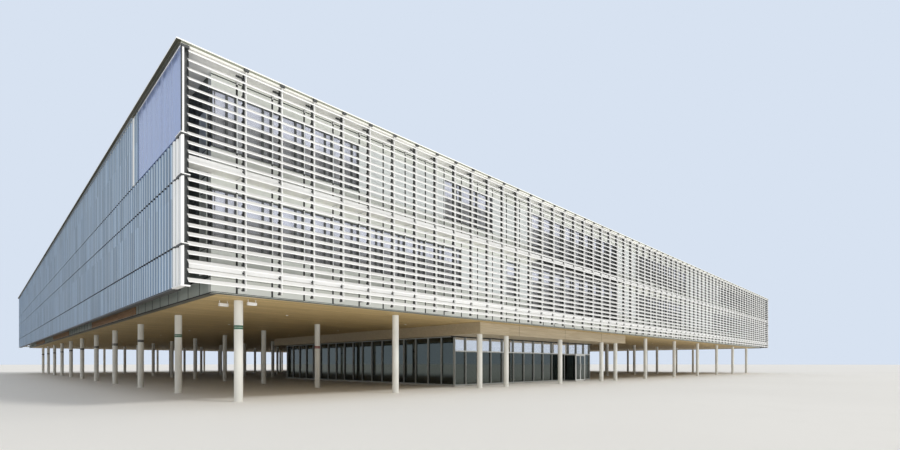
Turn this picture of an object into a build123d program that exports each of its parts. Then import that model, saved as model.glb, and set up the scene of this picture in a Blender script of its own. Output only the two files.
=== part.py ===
from build123d import *
import os

# Office building on stilts, as a 1:10 scale model: 1 mm here is 10 mm on the real building.
# Origin at the middle of the plan, on the lowest ground. +X runs along the louvred front,
# the front looks towards -Y, the fluted screens look towards -X and +X, and +Z is up.

# Structural grid
module = 135.0
modules_per_bay = 6
bay_count_long = 10
bay_count_deep = 10
column_d = 34.0
column_sides = 14
paired_line_indices = (2, 4)

# Levels
soffit_z = 410.0
boards_t = 6.0
deck_t = 69.0
storey_h = 360.0
slab_t = 30.0
base_course_h = 57.0
sill_h = 90.0
window_h = 212.0
top_storey_h = 355.0
roof_t = 12.0
roof_upstand = 4.0
roof_lip_h = 4.0
roof_lip_out = 8.0

# Outer walls, from the outermost column line to the wall's face
wall_out_x = 157.0
wall_out_y = 160.0
wall_t = 30.0
panel_t = 16.0
glass_t = 4.0
side_pier_w = 24.0
corner_pier_w = 5.0

# Window groups of the long walls, in modules from the middle of the plan. Panel joints lie
# half a module off the middle, and the groups at the left end run on to the corner pier.
first_floor_windows = ((-32, -21.5), (-18.5, -17.5), (-16.5, -7.5), (-4.5, 4.5), (12.5, 28.5))
second_floor_windows = ((-32, -26.5), (-22.5, -19.5), (-16.5, -7.5), (-4.5, 5.5), (14.5, 27.5))
tall_window = (-16.5, -7.5)
floor_edge_h = 10.0

# Louvre screens on the front and back
louvre_gap = 94.0
blade_run = 18.0
blade_rise = 18.0
blade_edge = 3.4
blade_count = 26
blade_foot_gap = 13.7
blade_head_gap = 0.8
post_w = 5.0
post_depth = 14.0
post_foot_z = 416.0
end_post_in = 24.0
walkway_t = 5.0
walkway_drop = 5.0
arm_w = 4.0
arm_h = 10.0

# Fluted screens on the two ends
screen_gap = 95.0
screen_post_depth = 12.0
screen_post_w = 8.0
rail_depth = 6.0
rail_h = 6.0
panel_depth = 8.0
panel_joint = 3.0
screen_foot_z = 413.0
band_heights = (139.0, 227.0, 135.0)
roof_past_screen = 15.0
corner_bar_w = 12.0
corner_glass_l = 577.0
corner_glass_t = 4.0
corner_glass_in = 6.0
flutes_past_glass = 66.0
closing_profile_w = 30.0
cut_past = 1.0

# Lobby under the building and its timber canopy
lobby_line_index = 3
lobby_past_columns = 112.0
lobby_setback = 401.0
lobby_modules_deep = 18
lobby_floor_t = 8.0
canopy_drop = 70.0
canopy_setback = 96.0
canopy_past_side = 90.0
mullion_w = 6.0
mullion_depth = 10.0
lobby_glass_t = 3.0
transom_h = 6.0

# Glazed porch with a pair of doors
porch_line_index = 4
porch_w = 162.0
porch_d = 115.0
porch_top_z = 240.0
porch_post = 6.0
porch_roof_t = 6.0
porch_glass_t = 3.0
threshold_h = 2.0
leaf_t = 4.0
leaf_stile = 6.0
leaf_gap = 1.0
leaf_glass_t = 2.0
pivot_in = 4.0
pivot_d = 3.0
pivot_gap = 0.3
pull_d = 2.0
rod_sides = 12
pull_l = 60.0
pull_z = 100.0
pull_standoff = 4.0
pull_in = 10.0

# Worked out from the above
bay = module * modules_per_bay
grid_x = bay_count_long * bay / 2
grid_y = bay_count_deep * bay / 2
wall_x = grid_x + wall_out_x
wall_y = grid_y + wall_out_y
room_x = wall_x - wall_t
room_y = wall_y - wall_t
louvre_y = wall_y + louvre_gap
post_y = louvre_y - blade_run
arm_y = post_y - post_depth
screen_post_x = wall_x + screen_gap
rail_x = screen_post_x + screen_post_depth
panel_x = rail_x + rail_depth
screen_x = panel_x + panel_depth
roof_x = screen_x + roof_past_screen
end_post_x = screen_x - end_post_in
deck_z = soffit_z + boards_t
floor_1_z = deck_z + deck_t
floor_2_z = floor_1_z + storey_h
roof_z = floor_2_z + top_storey_h
roof_top_z = roof_z + roof_t
sill_1_z = floor_1_z + sill_h
head_1_z = sill_1_z + window_h
blade_0_z = soffit_z + blade_foot_gap
blade_pitch = (roof_z - blade_head_gap - blade_rise - blade_0_z) / (blade_count - 1)
sill_2_z = floor_2_z + sill_h
head_2_z = sill_2_z + window_h
canopy_z = soffit_z - canopy_drop
lobby_half_w = bay + lobby_past_columns
lobby_x = -grid_x + lobby_line_index * bay
lobby_y = -wall_y + lobby_setback
lobby_back_y = lobby_y + lobby_modules_deep * module
canopy_y = -wall_y + canopy_setback
canopy_back_y = lobby_back_y + canopy_past_side
canopy_half_w = lobby_half_w + canopy_past_side
porch_x = lobby_x + porch_line_index * module
porch_y = lobby_y - porch_d
leaf_w = (porch_w - 2 * porch_post - 3 * leaf_gap) / 2
leaf_z0 = lobby_floor_t + threshold_h + leaf_gap
leaf_z1 = porch_top_z - porch_roof_t - porch_post - leaf_gap
leaf_y = porch_y + porch_post / 2
hinge_x = porch_w / 2 - porch_post - leaf_gap - pivot_in


def block(x0, x1, y0, y1, z0, z1):
    """Box between two corners."""
    size = (x1 - x0, y1 - y0, z1 - z0)
    return Pos((x0 + x1) / 2, (y0 + y1) / 2, (z0 + z1) / 2) * Box(*size)


def upright(x, y, z0, z1, diameter, sides=rod_sides):
    """Round post standing on z0, made as a prism of many sides."""
    outline = Plane.XY.offset(z0) * Pos(x, y) * RegularPolygon(diameter / 2, sides)
    return extrude(outline, z1 - z0)


def mirrored(solids, about):
    """The same solids on the opposite side of the plan."""
    return [mirror(solid, about=about) for solid in solids]


def under_canopy(x, y):
    """True where a column stands below the timber canopy."""
    across = abs(x - lobby_x) < canopy_half_w
    return across and canopy_y < y < canopy_back_y


def in_lobby(x, y):
    """True where a column stands on the lobby floor."""
    return abs(x - lobby_x) < lobby_half_w and lobby_y < y < lobby_back_y


def column(x, y):
    foot = lobby_floor_t if in_lobby(x, y) else 0
    top = canopy_z if under_canopy(x, y) else soffit_z
    return upright(x, y, foot, top, column_d, column_sides)


def column_row(j, paired=()):
    """One row of columns, with a pair in place of each line named in paired."""
    y = -grid_y + j * bay
    row = []
    for i in range(bay_count_long + 1):
        x = -grid_x + i * bay
        if i in paired:
            row += [column(x - module, y), column(x + module, y)]
        else:
            row.append(column(x, y))
    return row


def outer_columns():
    """Columns round the edge of the plan, with the pairs of the front row."""
    ring = column_row(0, paired_line_indices) + column_row(bay_count_deep)
    for j in range(1, bay_count_deep):
        row = column_row(j)
        ring += [row[0], row[-1]]
    return ring


def inner_columns():
    rows = []
    for j in range(1, bay_count_deep):
        rows += column_row(j)[1:-1]
    return rows


def roof_deck():
    """Roof plate with a lip round its top and a shallow tray inside its edge."""
    lip_z = roof_top_z - roof_lip_h
    x, y = roof_x - roof_lip_out, louvre_y - roof_lip_out
    deck = block(-x, x, -y, y, roof_z, lip_z)
    deck += block(-roof_x, roof_x, -louvre_y, louvre_y, lip_z, roof_top_z)
    tray = block(-wall_x, wall_x, -wall_y, wall_y, roof_top_z - roof_upstand, roof_top_z + cut_past)
    return deck - tray


def long_wall_bands():
    """Sill band, spandrel and head band of the front wall, parted by the tall window."""
    x0, x1 = tall_window[0] * module, tall_window[1] * module
    tall = block(x0, x1, -wall_y - cut_past, -room_y + cut_past, floor_1_z, head_2_z)
    lower = block(-wall_x, wall_x, -wall_y, -room_y, soffit_z, sill_1_z) - tall
    spandrel = block(-wall_x, wall_x, -wall_y, -room_y, head_1_z, sill_2_z) - tall
    z0 = floor_2_z - floor_edge_h
    spandrel += block(x0, x1, -wall_y, -wall_y + panel_t, z0, floor_2_z)
    upper = block(-wall_x, wall_x, -wall_y, -room_y, head_2_z, roof_z)
    return [lower, spandrel, upper]


def end_wall_bands():
    """Bands of the left end wall, between the two long walls, above its base course."""
    course_z = soffit_z + base_course_h
    levels = ((course_z, sill_1_z), (head_1_z, sill_2_z), (head_2_z, roof_z))
    return [block(-wall_x, -room_x, -room_y, room_y, z0, z1) for z0, z1 in levels]


def base_course():
    """Metal base course of the left end wall."""
    return block(-wall_x, -room_x, -room_y, room_y, soffit_z, soffit_z + base_course_h)


def panels_between(windows, z0, z1):
    """Closed panels of the front wall in one storey, between its window groups."""
    last_edge = wall_x - corner_pier_w
    edges = [-wall_x]
    for start, end in windows:
        edges += [max(start * module, -last_edge), min(end * module, last_edge)]
    edges.append(wall_x)
    spans = zip(edges[0::2], edges[1::2])
    return [block(x0, x1, -wall_y, -wall_y + panel_t, z0, z1) for x0, x1 in spans]


def front_panels():
    lower = panels_between(first_floor_windows, sill_1_z, head_1_z)
    upper = panels_between(second_floor_windows, sill_2_z, head_2_z)
    return lower + upper


def front_glass():
    """One sheet a storey, joined by the tall window's glass."""
    y0, y1 = -wall_y + panel_t, -wall_y + panel_t + glass_t
    x0, x1 = tall_window[0] * module, tall_window[1] * module
    lower = block(-wall_x, wall_x, y0, y1, sill_1_z, head_1_z)
    tall = block(x0, x1, y0, y1, floor_1_z, head_2_z)
    upper = block(-wall_x, wall_x, y0, y1, sill_2_z, head_2_z)
    return lower + tall + upper


def left_piers():
    """Slim piers on the bay lines of the left end wall, in both storeys."""
    piers = []
    for z0, z1 in ((sill_1_z, head_1_z), (sill_2_z, head_2_z)):
        for j in range(bay_count_deep + 1):
            y = -grid_y + j * bay
            y0, y1 = y - side_pier_w / 2, y + side_pier_w / 2
            piers.append(block(-wall_x, -wall_x + panel_t, y0, y1, z0, z1))
    return piers


def left_glass():
    x0 = -wall_x + panel_t
    y1 = wall_y - panel_t - glass_t
    rows = ((sill_1_z, head_1_z), (sill_2_z, head_2_z))
    return [block(x0, x0 + glass_t, -y1, y1, z0, z1) for z0, z1 in rows]


def louvre_post_places():
    """Post lines half a module off the middle, with one more at each end of the screen."""
    last = int(wall_x / module - 0.5)
    places = [(k + 0.5) * module for k in range(-last - 1, last + 1)]
    return [-end_post_x] + places + [end_post_x]


def louvre_posts():
    posts = []
    for x in louvre_post_places():
        x0, x1 = x - post_w / 2, x + post_w / 2
        posts.append(block(x0, x1, -post_y, -arm_y, post_foot_z, roof_z))
    return posts


def walkways():
    """Plates at both floors between the front wall and the posts, as long as the screen."""
    end = end_post_x + post_w / 2
    tops = (floor_1_z - walkway_drop, floor_2_z - walkway_drop)
    return [block(-end, end, -arm_y, -wall_y, z - walkway_t, z) for z in tops]


def louvre_arms():
    """Arms under the roof from the wall to the heads of the posts."""
    arms = []
    for x in louvre_post_places()[1:-1]:
        arms.append(block(x - arm_w / 2, x + arm_w / 2, -arm_y, -wall_y, roof_z - arm_h, roof_z))
    return arms


def louvre_blades():
    """Long blades that slope up from their front edge to the posts that carry them."""
    end = end_post_x + post_w / 2
    back, front = -post_y, -louvre_y
    outline = [(front, 0), (front, blade_edge), (back, blade_rise), (back, blade_rise - blade_edge)]
    blade = extrude(Plane.YZ * make_face(Polyline(*outline, close=True)), amount=end, both=True)
    return [Pos(0, 0, blade_0_z + k * blade_pitch) * blade for k in range(blade_count)]


def screen_bands():
    """Bottom and top of each row of screen panels, up to the roof."""
    levels = []
    z = screen_foot_z
    for height in band_heights:
        levels.append((z, z + height))
        z += height
    levels.append((z, roof_z))
    return levels


def screen_panels(short_top):
    """Panel rows of the left screen; the top one may stop at the corner glass."""
    panels = []
    for z0, z1 in screen_bands():
        y0 = -louvre_y + corner_bar_w
        if short_top and z1 == roof_z:
            glass_end = y0 + corner_glass_l
            y0 = glass_end + flutes_past_glass + closing_profile_w
            panels.append(block(-screen_x, -panel_x, glass_end, y0 - closing_profile_w, z0, z1))
        top = z1 if z1 == roof_z else z1 - panel_joint
        panels.append(block(-screen_x, -panel_x, y0, louvre_y - corner_bar_w, z0, top))
    return panels


def screen_rails():
    """Rails behind the panel joints."""
    levels = [z0 for z0, z1 in screen_bands()] + [roof_z - rail_h]
    y1 = louvre_y - corner_bar_w
    return [block(-panel_x, -rail_x, -y1, y1, z, z + rail_h) for z in levels]


def screen_posts():
    """Posts behind the rails, two to a bay, hung from the roof."""
    posts = []
    for j in range(2 * bay_count_deep + 1):
        y = -grid_y + j * bay / 2
        y0, y1 = y - screen_post_w / 2, y + screen_post_w / 2
        posts.append(block(-rail_x, -screen_post_x, y0, y1, screen_foot_z, roof_z))
    return posts


def corner_bars():
    """Upright bars that close the ends of both fluted screens."""
    bars = []
    for side_x in (-1, 1):
        for side_y in (-1, 1):
            x0, x1 = sorted((side_x * screen_x, side_x * rail_x))
            y0, y1 = sorted((side_y * louvre_y, side_y * (louvre_y - corner_bar_w)))
            bars.append(block(x0, x1, y0, y1, screen_foot_z, roof_z))
    return bars + [closing_profile()]


def corner_glass():
    """Smooth glass that takes the place of the flutes at the near top corner."""
    z0 = screen_bands()[-1][0]
    y0 = -louvre_y + corner_bar_w
    x0 = -screen_x + corner_glass_in - corner_glass_t
    return block(x0, x0 + corner_glass_t, y0, y0 + corner_glass_l, z0, roof_z)


def closing_profile():
    """Upright profile that ends the flutes beside the corner glass."""
    z0 = screen_bands()[-1][0]
    y0 = -louvre_y + corner_bar_w + corner_glass_l + flutes_past_glass
    return block(-screen_x, -panel_x, y0, y0 + closing_profile_w, z0, roof_z)


def canopy():
    x0, x1 = lobby_x - canopy_half_w, lobby_x + canopy_half_w
    return block(x0, x1, canopy_y, canopy_back_y, canopy_z, soffit_z)


def lobby_floor():
    """Lobby floor with the tongue that carries the porch."""
    x0, x1 = lobby_x - lobby_half_w, lobby_x + lobby_half_w
    room = block(x0, x1, lobby_y, lobby_back_y, 0, lobby_floor_t)
    tongue = block(porch_x - porch_w / 2, porch_x + porch_w / 2, porch_y, lobby_y, 0, lobby_floor_t)
    return room + tongue


def ladder_x(x0, x1, y0, centre, skip=()):
    """Mullions, sill, transom and head of a glazed side that runs along X."""
    y1 = y0 + mullion_depth
    z0, z1 = lobby_floor_t, canopy_z
    frame = block(x0, x0 + mullion_w, y0, y1, z0, z1) + block(x1 - mullion_w, x1, y0, y1, z0, z1)
    for z in (z0, porch_top_z - transom_h, z1 - transom_h):
        frame += block(x0, x1, y0, y1, z, z + transom_h)
    count = int((x1 - centre) / module)
    for k in range(-count, count + 1):
        if k not in skip:
            x = centre + k * module
            frame += block(x - mullion_w / 2, x + mullion_w / 2, y0, y1, z0, z1)
    return frame


def ladder_y(x0, y0, y1):
    """The same frame for a glazed side that runs along Y."""
    x1 = x0 + mullion_depth
    z0, z1 = lobby_floor_t, canopy_z
    frame = block(x0, x1, y0, y0 + mullion_w, z0, z1) + block(x0, x1, y1 - mullion_w, y1, z0, z1)
    for z in (z0, z1 - transom_h):
        frame += block(x0, x1, y0, y1, z, z + transom_h)
    for k in range(1, lobby_modules_deep):
        y = lobby_y + k * module
        frame += block(x0, x1, y - mullion_w / 2, y + mullion_w / 2, z0, z1)
    return frame


def lobby_front_frame():
    x0, x1 = lobby_x - lobby_half_w, lobby_x + lobby_half_w
    frame = ladder_x(x0, x1, lobby_y, lobby_x, skip=(porch_line_index,))
    z0 = lobby_floor_t
    doorway = block(porch_x - porch_w / 2, porch_x + porch_w / 2, lobby_y - cut_past,
                    lobby_y + mullion_depth + cut_past, z0 - cut_past, porch_top_z - transom_h)
    above = block(porch_x - mullion_w / 2, porch_x + mullion_w / 2, lobby_y,
                  lobby_y + mullion_depth, porch_top_z - transom_h, canopy_z)
    return frame - doorway + above


def lobby_back_frame():
    x0, x1 = lobby_x - lobby_half_w, lobby_x + lobby_half_w
    return ladder_x(x0, x1, lobby_back_y - mullion_depth, lobby_x)


def lobby_side_frames():
    y0, y1 = lobby_y + mullion_depth, lobby_back_y - mullion_depth
    left = ladder_y(lobby_x - lobby_half_w, y0, y1)
    right = ladder_y(lobby_x + lobby_half_w - mullion_depth, y0, y1)
    return [left, right]


def lobby_glass():
    """One sheet behind each side's frame; the front one is cut round the porch."""
    z0, z1 = lobby_floor_t, canopy_z
    inner = lobby_half_w - mullion_depth
    x0, x1 = lobby_x - inner, lobby_x + inner
    y0 = lobby_y + mullion_depth
    y1 = lobby_back_y - mullion_depth
    front = block(x0, x1, y0, y0 + lobby_glass_t, z0, z1)
    front -= block(porch_x - porch_w / 2, porch_x + porch_w / 2, y0 - cut_past,
                   y0 + lobby_glass_t + cut_past, z0 - cut_past, porch_top_z - transom_h)
    back = block(x0, x1, y1 - lobby_glass_t, y1, z0, z1)
    side_y0, side_y1 = y0 + lobby_glass_t, y1 - lobby_glass_t
    left = block(x0, x0 + lobby_glass_t, side_y0, side_y1, z0, z1)
    right = block(x1 - lobby_glass_t, x1, side_y0, side_y1, z0, z1)
    return [front, back, left, right]


def porch_frame():
    """Posts, head rails, threshold and roof of the porch."""
    x0, x1 = porch_x - porch_w / 2, porch_x + porch_w / 2
    y0, y1 = porch_y, lobby_y
    z0, z1 = lobby_floor_t, porch_top_z - porch_roof_t
    frame = block(x0, x1, y0, y0 + porch_post, z1 - porch_post, z1)
    for x in (x0, x1 - porch_post):
        frame += block(x, x + porch_post, y0, y0 + porch_post, z0, z1)
        frame += block(x, x + porch_post, y1 - porch_post, y1, z0, z1)
        frame += block(x, x + porch_post, y0, y1, z1 - porch_post, z1)
        frame += block(x, x + porch_post, y0, y1, z0, z0 + threshold_h)
    frame += block(x0, x1, y0, y0 + porch_post, z0, z0 + threshold_h)
    return frame + block(x0, x1, y0, y1, z1, porch_top_z)


def porch_glass():
    """Side panes of the porch, seated between its posts."""
    y0, y1 = porch_y + porch_post, lobby_y - porch_post
    z0 = lobby_floor_t + threshold_h
    z1 = porch_top_z - porch_roof_t - porch_post
    panes = []
    for x in (porch_x - (porch_w - porch_post) / 2, porch_x + (porch_w - porch_post) / 2):
        panes.append(block(x - porch_glass_t / 2, x + porch_glass_t / 2, y0, y1, z0, z1))
    return panes


def leaf_frame():
    """Left door leaf: stiles, rails, pivots top and bottom, and a pull bar outside."""
    x0 = porch_x - porch_w / 2 + porch_post + leaf_gap
    x1 = x0 + leaf_w
    y0, y1 = leaf_y - leaf_t / 2, leaf_y + leaf_t / 2
    leaf = block(x0, x1, y0, y1, leaf_z0, leaf_z1)
    leaf -= block(x0 + leaf_stile, x1 - leaf_stile, y0 - cut_past, y1 + cut_past,
                  leaf_z0 + leaf_stile, leaf_z1 - leaf_stile)
    reach = leaf_gap - pivot_gap
    pivot_x = porch_x - hinge_x
    leaf += upright(pivot_x, leaf_y, leaf_z0 - reach, leaf_z0, pivot_d)
    leaf += upright(pivot_x, leaf_y, leaf_z1, leaf_z1 + reach, pivot_d)
    return leaf + pull_bar(x1 - leaf_stile / 2, y0)


def pull_bar(x, face_y):
    """Upright pull on two stand-offs."""
    y = face_y - pull_standoff
    bar = upright(x, y, pull_z, pull_z + pull_l, pull_d)
    for z in (pull_z + pull_in, pull_z + pull_l - pull_in):
        bar += block(x - pull_d / 2, x + pull_d / 2, y, face_y, z - pull_d / 2, z + pull_d / 2)
    return bar


def leaf_glass():
    x0 = porch_x - porch_w / 2 + porch_post + leaf_gap + leaf_stile
    x1 = x0 + leaf_w - 2 * leaf_stile
    y0, y1 = leaf_y - leaf_glass_t / 2, leaf_y + leaf_glass_t / 2
    return block(x0, x1, y0, y1, leaf_z0 + leaf_stile, leaf_z1 - leaf_stile)


def save(name, *solids):
    """Write one named piece, which may hold several solids that don't touch."""
    shape = solids[0] if len(solids) == 1 else Compound(children=list(solids))
    export_step(shape, f"parts/{name}.step")


os.makedirs("parts", exist_ok=True)

save("outer_columns", *outer_columns())
save("inner_columns", *inner_columns())
save("soffit_boards", block(-room_x, room_x, -room_y, room_y, soffit_z, deck_z))
save("first_floor_deck", block(-room_x, room_x, -room_y, room_y, deck_z, floor_1_z))
save("second_floor_slab", block(-room_x, room_x, -room_y, room_y, floor_2_z - slab_t, floor_2_z))
save("roof_deck", roof_deck())

save("front_wall_bands", *long_wall_bands())
save("front_wall_panels", *front_panels())
save("front_glass", front_glass())
save("back_wall_bands", *mirrored(long_wall_bands(), Plane.XZ))
save("back_wall_panels", *mirrored(front_panels(), Plane.XZ))
save("back_glass", *mirrored([front_glass()], Plane.XZ))
save("base_courses", base_course(), *mirrored([base_course()], Plane.YZ))
save("left_wall_bands", *end_wall_bands())
save("left_wall_piers", *left_piers())
save("left_glass", *left_glass())
save("right_wall_bands", *mirrored(end_wall_bands(), Plane.YZ))
save("right_wall_piers", *mirrored(left_piers(), Plane.YZ))
save("right_glass", *mirrored(left_glass(), Plane.YZ))

save("front_louvre_posts", *louvre_posts())
save("front_louvre_blades", *louvre_blades())
save("back_louvre_posts", *mirrored(louvre_posts(), Plane.XZ))
save("back_louvre_blades", *mirrored(louvre_blades(), Plane.XZ))
save("louvre_walkways", *walkways(), *mirrored(walkways(), Plane.XZ))
save("louvre_arms", *louvre_arms(), *mirrored(louvre_arms(), Plane.XZ))

save("left_screen_panels", *screen_panels(short_top=True))
save("left_screen_rails", *screen_rails())
save("left_screen_posts", *screen_posts())
save("right_screen_panels", *mirrored(screen_panels(short_top=False), Plane.YZ))
save("right_screen_rails", *mirrored(screen_rails(), Plane.YZ))
save("right_screen_posts", *mirrored(screen_posts(), Plane.YZ))
save("corner_bars", *corner_bars())
save("corner_glass", corner_glass())

save("entrance_canopy", canopy())
save("lobby_floor", lobby_floor())
save("lobby_front_frame", lobby_front_frame())
save("lobby_back_frame", lobby_back_frame())
save("lobby_side_frames", *lobby_side_frames())
save("lobby_glass", *lobby_glass())
save("porch_frame", porch_frame())
save("porch_glass", *porch_glass())
save("left_door_frame", leaf_frame())
save("left_door_glass", leaf_glass())
door_middle = Plane.YZ.offset(porch_x)
save("right_door_frame", *mirrored([leaf_frame()], door_middle))
save("right_door_glass", *mirrored([leaf_glass()], door_middle))
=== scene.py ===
"""Looks of the office block on round columns, a scale model at one tenth of its real size.

Sizes are in millimetres of the model and become metres where a mesh is made. The louvred front
looks towards -Y, the fluted screens towards -X and +X, and +Z is up.
"""

import logging
import math
from collections.abc import Callable, Iterator, Sequence
from dataclasses import dataclass
from enum import Enum

import bpy
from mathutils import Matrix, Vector


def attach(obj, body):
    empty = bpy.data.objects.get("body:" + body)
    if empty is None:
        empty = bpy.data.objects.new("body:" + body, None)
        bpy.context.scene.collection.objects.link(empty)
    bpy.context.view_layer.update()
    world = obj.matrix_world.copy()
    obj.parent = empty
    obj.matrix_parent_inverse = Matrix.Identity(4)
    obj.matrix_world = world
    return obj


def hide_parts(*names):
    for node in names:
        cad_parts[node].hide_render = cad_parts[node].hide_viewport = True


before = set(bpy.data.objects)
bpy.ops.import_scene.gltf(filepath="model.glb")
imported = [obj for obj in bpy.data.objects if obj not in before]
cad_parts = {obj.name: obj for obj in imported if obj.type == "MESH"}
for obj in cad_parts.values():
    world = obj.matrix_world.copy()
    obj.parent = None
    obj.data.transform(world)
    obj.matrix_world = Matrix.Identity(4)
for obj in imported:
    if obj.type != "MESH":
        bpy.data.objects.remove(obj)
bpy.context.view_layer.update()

MM = 0.001
# A face looks along an axis where more than this share of its normal does.
SQUARE = 0.9
# Two places are one within CLOSE, an edge is long past LONG, and points merge within MERGE.
CLOSE = 0.01
LONG = 100.0
MERGE = 0.02
# Degrees between two faces up to which they are shaded as one round side.
ROUND_ANGLE = 35.0
# Widths of chamfers.
HAIR_EDGE = 0.3
THIN_EDGE = 0.4
FINE_EDGE = 0.5
SOFT_EDGE = 0.6
WIDE_EDGE = 0.8

Colour = tuple[float, float, float]
Point = tuple[float, float, float]
FaceTest = Callable[[Vector, Vector], bool]
EdgeTest = Callable[[Vector, Vector], bool]
log = logging.getLogger("office_block")


@dataclass(frozen=True)
class Plan:
    """Grid, levels and planes that several sub-assemblies follow."""

    module: float = 135.0
    bay: float = 810.0
    grid: float = 4050.0
    soffit: float = 410.0
    floor_1: float = 485.0
    floor_2: float = 845.0
    roof: float = 1200.0
    roof_top: float = 1212.0
    sill: float = 90.0
    window_h: float = 212.0
    wall_x: float = 4207.0
    wall_y: float = 4210.0
    post_back: float = 4272.0
    post_front: float = 4286.0
    louvre_y: float = 4304.0
    screen_x: float = 4328.0
    glass_foot: float = 914.0
    canopy_z: float = 340.0
    lobby_x: float = -1620.0
    lobby_half_w: float = 922.0
    lobby_front: float = -3809.0
    lobby_back: float = -1379.0
    canopy_half_w: float = 1012.0
    canopy_front: float = -4114.0
    canopy_back: float = -1289.0

    def seams(self) -> int:
        """Count of module lines along a long wall."""
        return 2 * int(self.wall_x / self.module - 0.5) + 2

    def first_seam(self) -> float:
        """Place of the first module line, which lies half a module off the middle."""
        return -(self.seams() - 1) * self.module / 2


PLAN = Plan()


class Side(Enum):
    """Way in which a face looks, as the axis of its normal and the sign along it."""

    LEFT = (0, -1.0)
    FRONT = (1, -1.0)
    BACK = (1, 1.0)
    BELOW = (2, -1.0)
    ABOVE = (2, 1.0)

    def faces(self, at: Vector, way: Vector) -> bool:
        """True for a face that looks this way."""
        axis, sign = self.value
        return way[axis] * sign > SQUARE


def hold(*objects: bpy.types.Object) -> bpy.types.Object | None:
    """Make some objects the only selected ones.

    Args:
        objects: the objects, of which the first becomes the active one.

    Returns:
        The active object, or None where none is given.
    """
    if bpy.context.object and bpy.context.object.mode != "OBJECT":
        bpy.ops.object.mode_set(mode="OBJECT")
    bpy.ops.object.select_all(action="DESELECT")
    for item in objects:
        item.select_set(True)
    bpy.context.view_layer.objects.active = objects[0] if objects else None
    return objects[0] if objects else None


def settle(piece: bpy.types.Object) -> None:
    """Move an object's place, turn and size into its mesh."""
    hold(piece)
    bpy.ops.object.transform_apply(location=True, rotation=True, scale=True)


def pick_faces(piece: bpy.types.Object, test: FaceTest) -> None:
    """Open a piece in edit mode with some of its faces selected.

    Args:
        piece: the piece to open.
        test: says from a face's middle, in millimetres, and its normal if it is selected.
    """
    hold(piece)
    bpy.context.tool_settings.mesh_select_mode = (False, False, True)
    mesh = piece.data
    for group in (mesh.vertices, mesh.edges):
        group.foreach_set("select", [False] * len(group))
    for face in mesh.polygons:
        face.select = test(face.center / MM, face.normal)
    bpy.ops.object.mode_set(mode="EDIT")


def pick_edges(piece: bpy.types.Object, test: EdgeTest) -> None:
    """Open a piece in edit mode with some of its edges selected.

    Args:
        piece: the piece to open.
        test: says from an edge's middle and its run, in millimetres, if it is selected.
    """
    hold(piece)
    bpy.context.tool_settings.mesh_select_mode = (False, True, False)
    mesh = piece.data
    for group in (mesh.vertices, mesh.polygons):
        group.foreach_set("select", [False] * len(group))
    for edge in mesh.edges:
        start, end = (mesh.vertices[i].co / MM for i in edge.vertices)
        edge.select = test((start + end) / 2, end - start)
    bpy.ops.object.mode_set(mode="EDIT")


def close_edit() -> None:
    """Go back to object mode."""
    bpy.ops.object.mode_set(mode="OBJECT")


def everywhere(middle: Vector, normal: Vector) -> bool:
    """Test that takes every face or edge."""
    return True


def bar(name: str, low: Point, high: Point, edge: float = 0.0) -> bpy.types.Object:
    """Make a bar or plate between two corners.

    Args:
        name: name of the piece.
        low: its lowest corner.
        high: its highest corner.
        edge: width of the chamfer on all its edges, or 0 where it is shaped further.

    Returns:
        The new piece.
    """
    hold()
    centre = [(a + b) / 2 * MM for a, b in zip(low, high)]
    size = [(b - a) * MM for a, b in zip(low, high)]
    bpy.ops.mesh.primitive_cube_add(size=1.0, location=centre, scale=size)
    piece = bpy.context.object
    piece.name = piece.data.name = name
    settle(piece)
    if edge:
        pick_edges(piece, everywhere)
        bpy.ops.mesh.bevel(offset=edge * MM, segments=1, affect="EDGES")
        close_edit()
    return piece


@dataclass(frozen=True)
class Stock:
    """Bar that is cut to size, with its corners measured from the points that it is set at."""

    low: Point
    high: Point
    edge: float = 0.0

    def reach(self, name: str, start: Point, end: Point) -> bpy.types.Object:
        """Make the bar from one point to another.

        Args:
            name: name of the piece.
            start: the point that its low corner is measured from.
            end: the point that its high corner is measured from.

        Returns:
            The new piece.
        """
        low = tuple(a + b for a, b in zip(start, self.low))
        high = tuple(a + b for a, b in zip(end, self.high))
        return bar(name, low, high, self.edge)

    def set_at(self, name: str, x: float = 0.0, y: float = 0.0,
               z: float = 0.0) -> bpy.types.Object:
        """Make the bar at one point.

        Args:
            name: name of the piece.
            x: place of the point along the front.
            y: its place in depth.
            z: its level.

        Returns:
            The new piece.
        """
        return self.reach(name, (x, y, z), (x, y, z))


def rod(name: str, centre: Point, radius: float, height: float, sides: int) -> bpy.types.Object:
    """Make an upright round rod.

    Args:
        name: name of the piece.
        centre: middle of its foot.
        radius: its radius.
        height: its height.
        sides: count of its sides.

    Returns:
        The new piece.
    """
    hold()
    x, y, z = centre
    bpy.ops.mesh.primitive_cylinder_add(
        vertices=sides, radius=radius * MM, depth=height * MM,
        location=(x * MM, y * MM, (z + height / 2) * MM))
    piece = bpy.context.object
    piece.name = piece.data.name = name
    settle(piece)
    return piece


def extrude(piece: bpy.types.Object, test: FaceTest, move: Point) -> None:
    """Draw some faces of a piece out.

    Args:
        piece: the piece to shape.
        test: picks the faces.
        move: how far and where they go, in millimetres.
    """
    pick_faces(piece, test)
    bpy.ops.mesh.extrude_region_move(
        TRANSFORM_OT_translate={"value": tuple(v * MM for v in move)})
    close_edit()


def inset(piece: bpy.types.Object, test: FaceTest, width: float, depth: float) -> None:
    """Set a smaller face into some faces of a piece.

    Args:
        piece: the piece to shape.
        test: picks the faces.
        width: width of the rim left round the new face.
        depth: how far the new face stands out, or in where it is negative.
    """
    pick_faces(piece, test)
    bpy.ops.mesh.inset(thickness=width * MM, depth=depth * MM)
    close_edit()


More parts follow.
